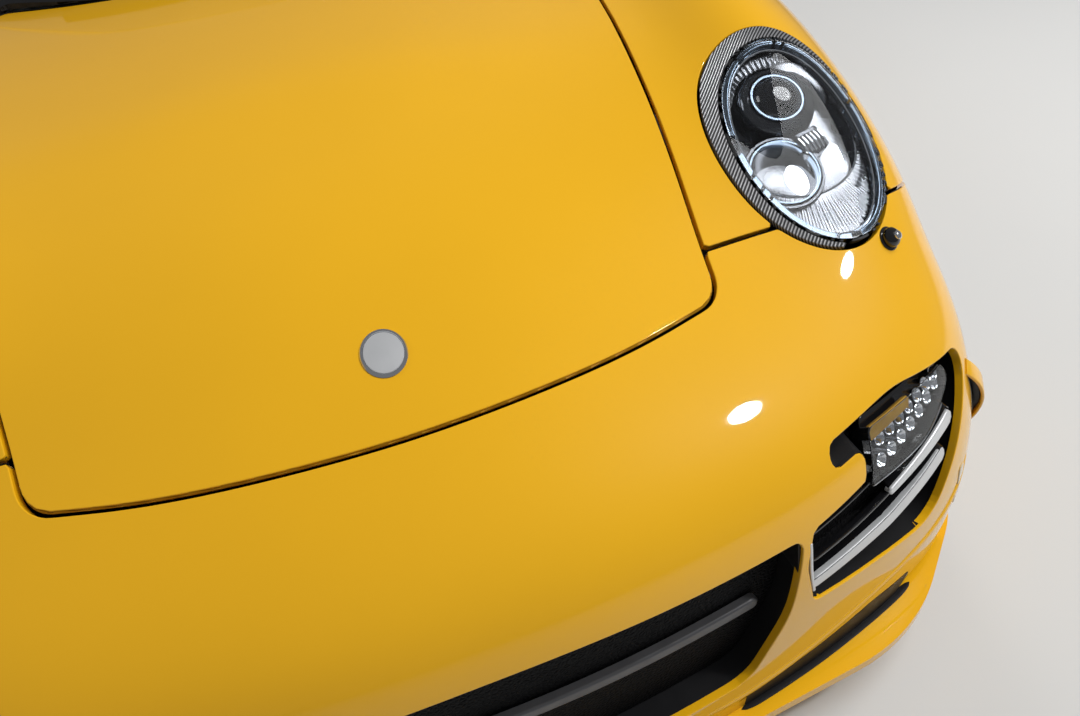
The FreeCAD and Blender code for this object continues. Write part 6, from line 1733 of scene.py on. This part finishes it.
for node, finish, body in (
        ("floor_pan", underseal, "car"), ("front_lip", paint, "car"),
        ("intake_grilles", black_plastic, "car"), ("arch_liners", black_plastic, "car"),
        ("front_suspension", dark_steel, "car"), ("rear_suspension", dark_steel, "car"),
        ("engine_block", cast, "car"), ("exhaust", steel, "car"),
        ("radiators", dark_steel, "car"), ("dashboard", black_plastic, "car"),
        ("wipers", black_plastic, "car"), ("rear_wing", paint, "engine_lid"),
        ("mirror_l", paint, "door_left"), ("mirror_r", paint, "door_right"),
        ("knuckle_l", cast, "knuckle_left"), ("knuckle_r", cast, "knuckle_right"),
        ("front_rim_l", alloy, "wheel_front_left"), ("front_rim_r", alloy, "wheel_front_right"),
        ("rear_rim_l", alloy, "wheel_rear_left"), ("rear_rim_r", alloy, "wheel_rear_right")):
    solid_copy(node, finish, body)


# Studio

pale_floor = Finish("pale_floor", (0.62, 0.62, 0.61), 0.85).mottle(0.6, 0.015).grain(
    90, 0.05).material
floor = bpy.data.meshes.new("studio_floor")
floor.from_pydata([(-30, -30, 0), (30, -30, 0), (30, 30, 0), (-30, 30, 0)], [], [(0, 1, 2, 3)])
floor_thing = bpy.data.objects.new("studio_floor", floor)
floor.materials.append(pale_floor)
bpy.context.scene.collection.objects.link(floor_thing)

world = bpy.data.worlds.new("studio")
bpy.context.scene.world = world
world.use_nodes = True
world.node_tree.nodes["Background"].inputs["Color"].default_value = (0.80, 0.81, 0.83, 1)
world.node_tree.nodes["Background"].inputs["Strength"].default_value = 0.22


def area_light(name, place, aim, size, power, mirrored=True):
    """An area light; one that isn't mirrored lights the paint without a shape in its gloss."""
    light = bpy.data.lights.new(name, "AREA")
    light.shape = "ELLIPSE"
    light.size, light.size_y = size
    light.energy = power
    thing = bpy.data.objects.new(name, light)
    thing.location = place
    thing.rotation_euler = (Vector(aim) - Vector(place)).to_track_quat("-Z", "Y").to_euler()
    thing.visible_glossy = mirrored
    bpy.context.scene.collection.objects.link(thing)


area_light("key_light", (4.42, -3.23, 4.83), (0.38, -2.05, 0.54), (0.55, 0.42), 130)
area_light("soft_light", (3.4, -2.4, 5.6), (0.2, -0.8, 0.5), (4.5, 4.5), 270, False)
area_light("fill_light", (-5.0, 1.0, 4.5), (0, 0, 0.6), (3.5, 3.5), 90, False)
area_light("back_light", (2.5, 5.5, 4.0), (0, 0.8, 0.6), (3.0, 2.0), 100, False)

# The camera's place and lens were fitted to the photograph, 1080 pixels wide
PHOTO_WIDE_PX = 1080
FOCAL_PX = 786.56
SENSOR_MM = 36.0
camera = bpy.data.cameras.new("photo_camera")
camera.sensor_width = SENSOR_MM
camera.lens = FOCAL_PX / PHOTO_WIDE_PX * SENSOR_MM
camera_thing = bpy.data.objects.new("photo_camera", camera)
bpy.context.scene.collection.objects.link(camera_thing)
right = (0.94010, -0.31739, -0.12436)
up = (0.29669, 0.58217, 0.75700)
back = (-0.16787, -0.74856, 0.64147)
spot = (0.01556, -2.63426, 1.21729)
camera_thing.matrix_world = Matrix([*zip(right, up, back, spot), (0, 0, 0, 1)])
camera.clip_start = 0.02
bpy.context.scene.camera = camera_thing
bpy.context.scene.view_settings.view_transform = "Standard"
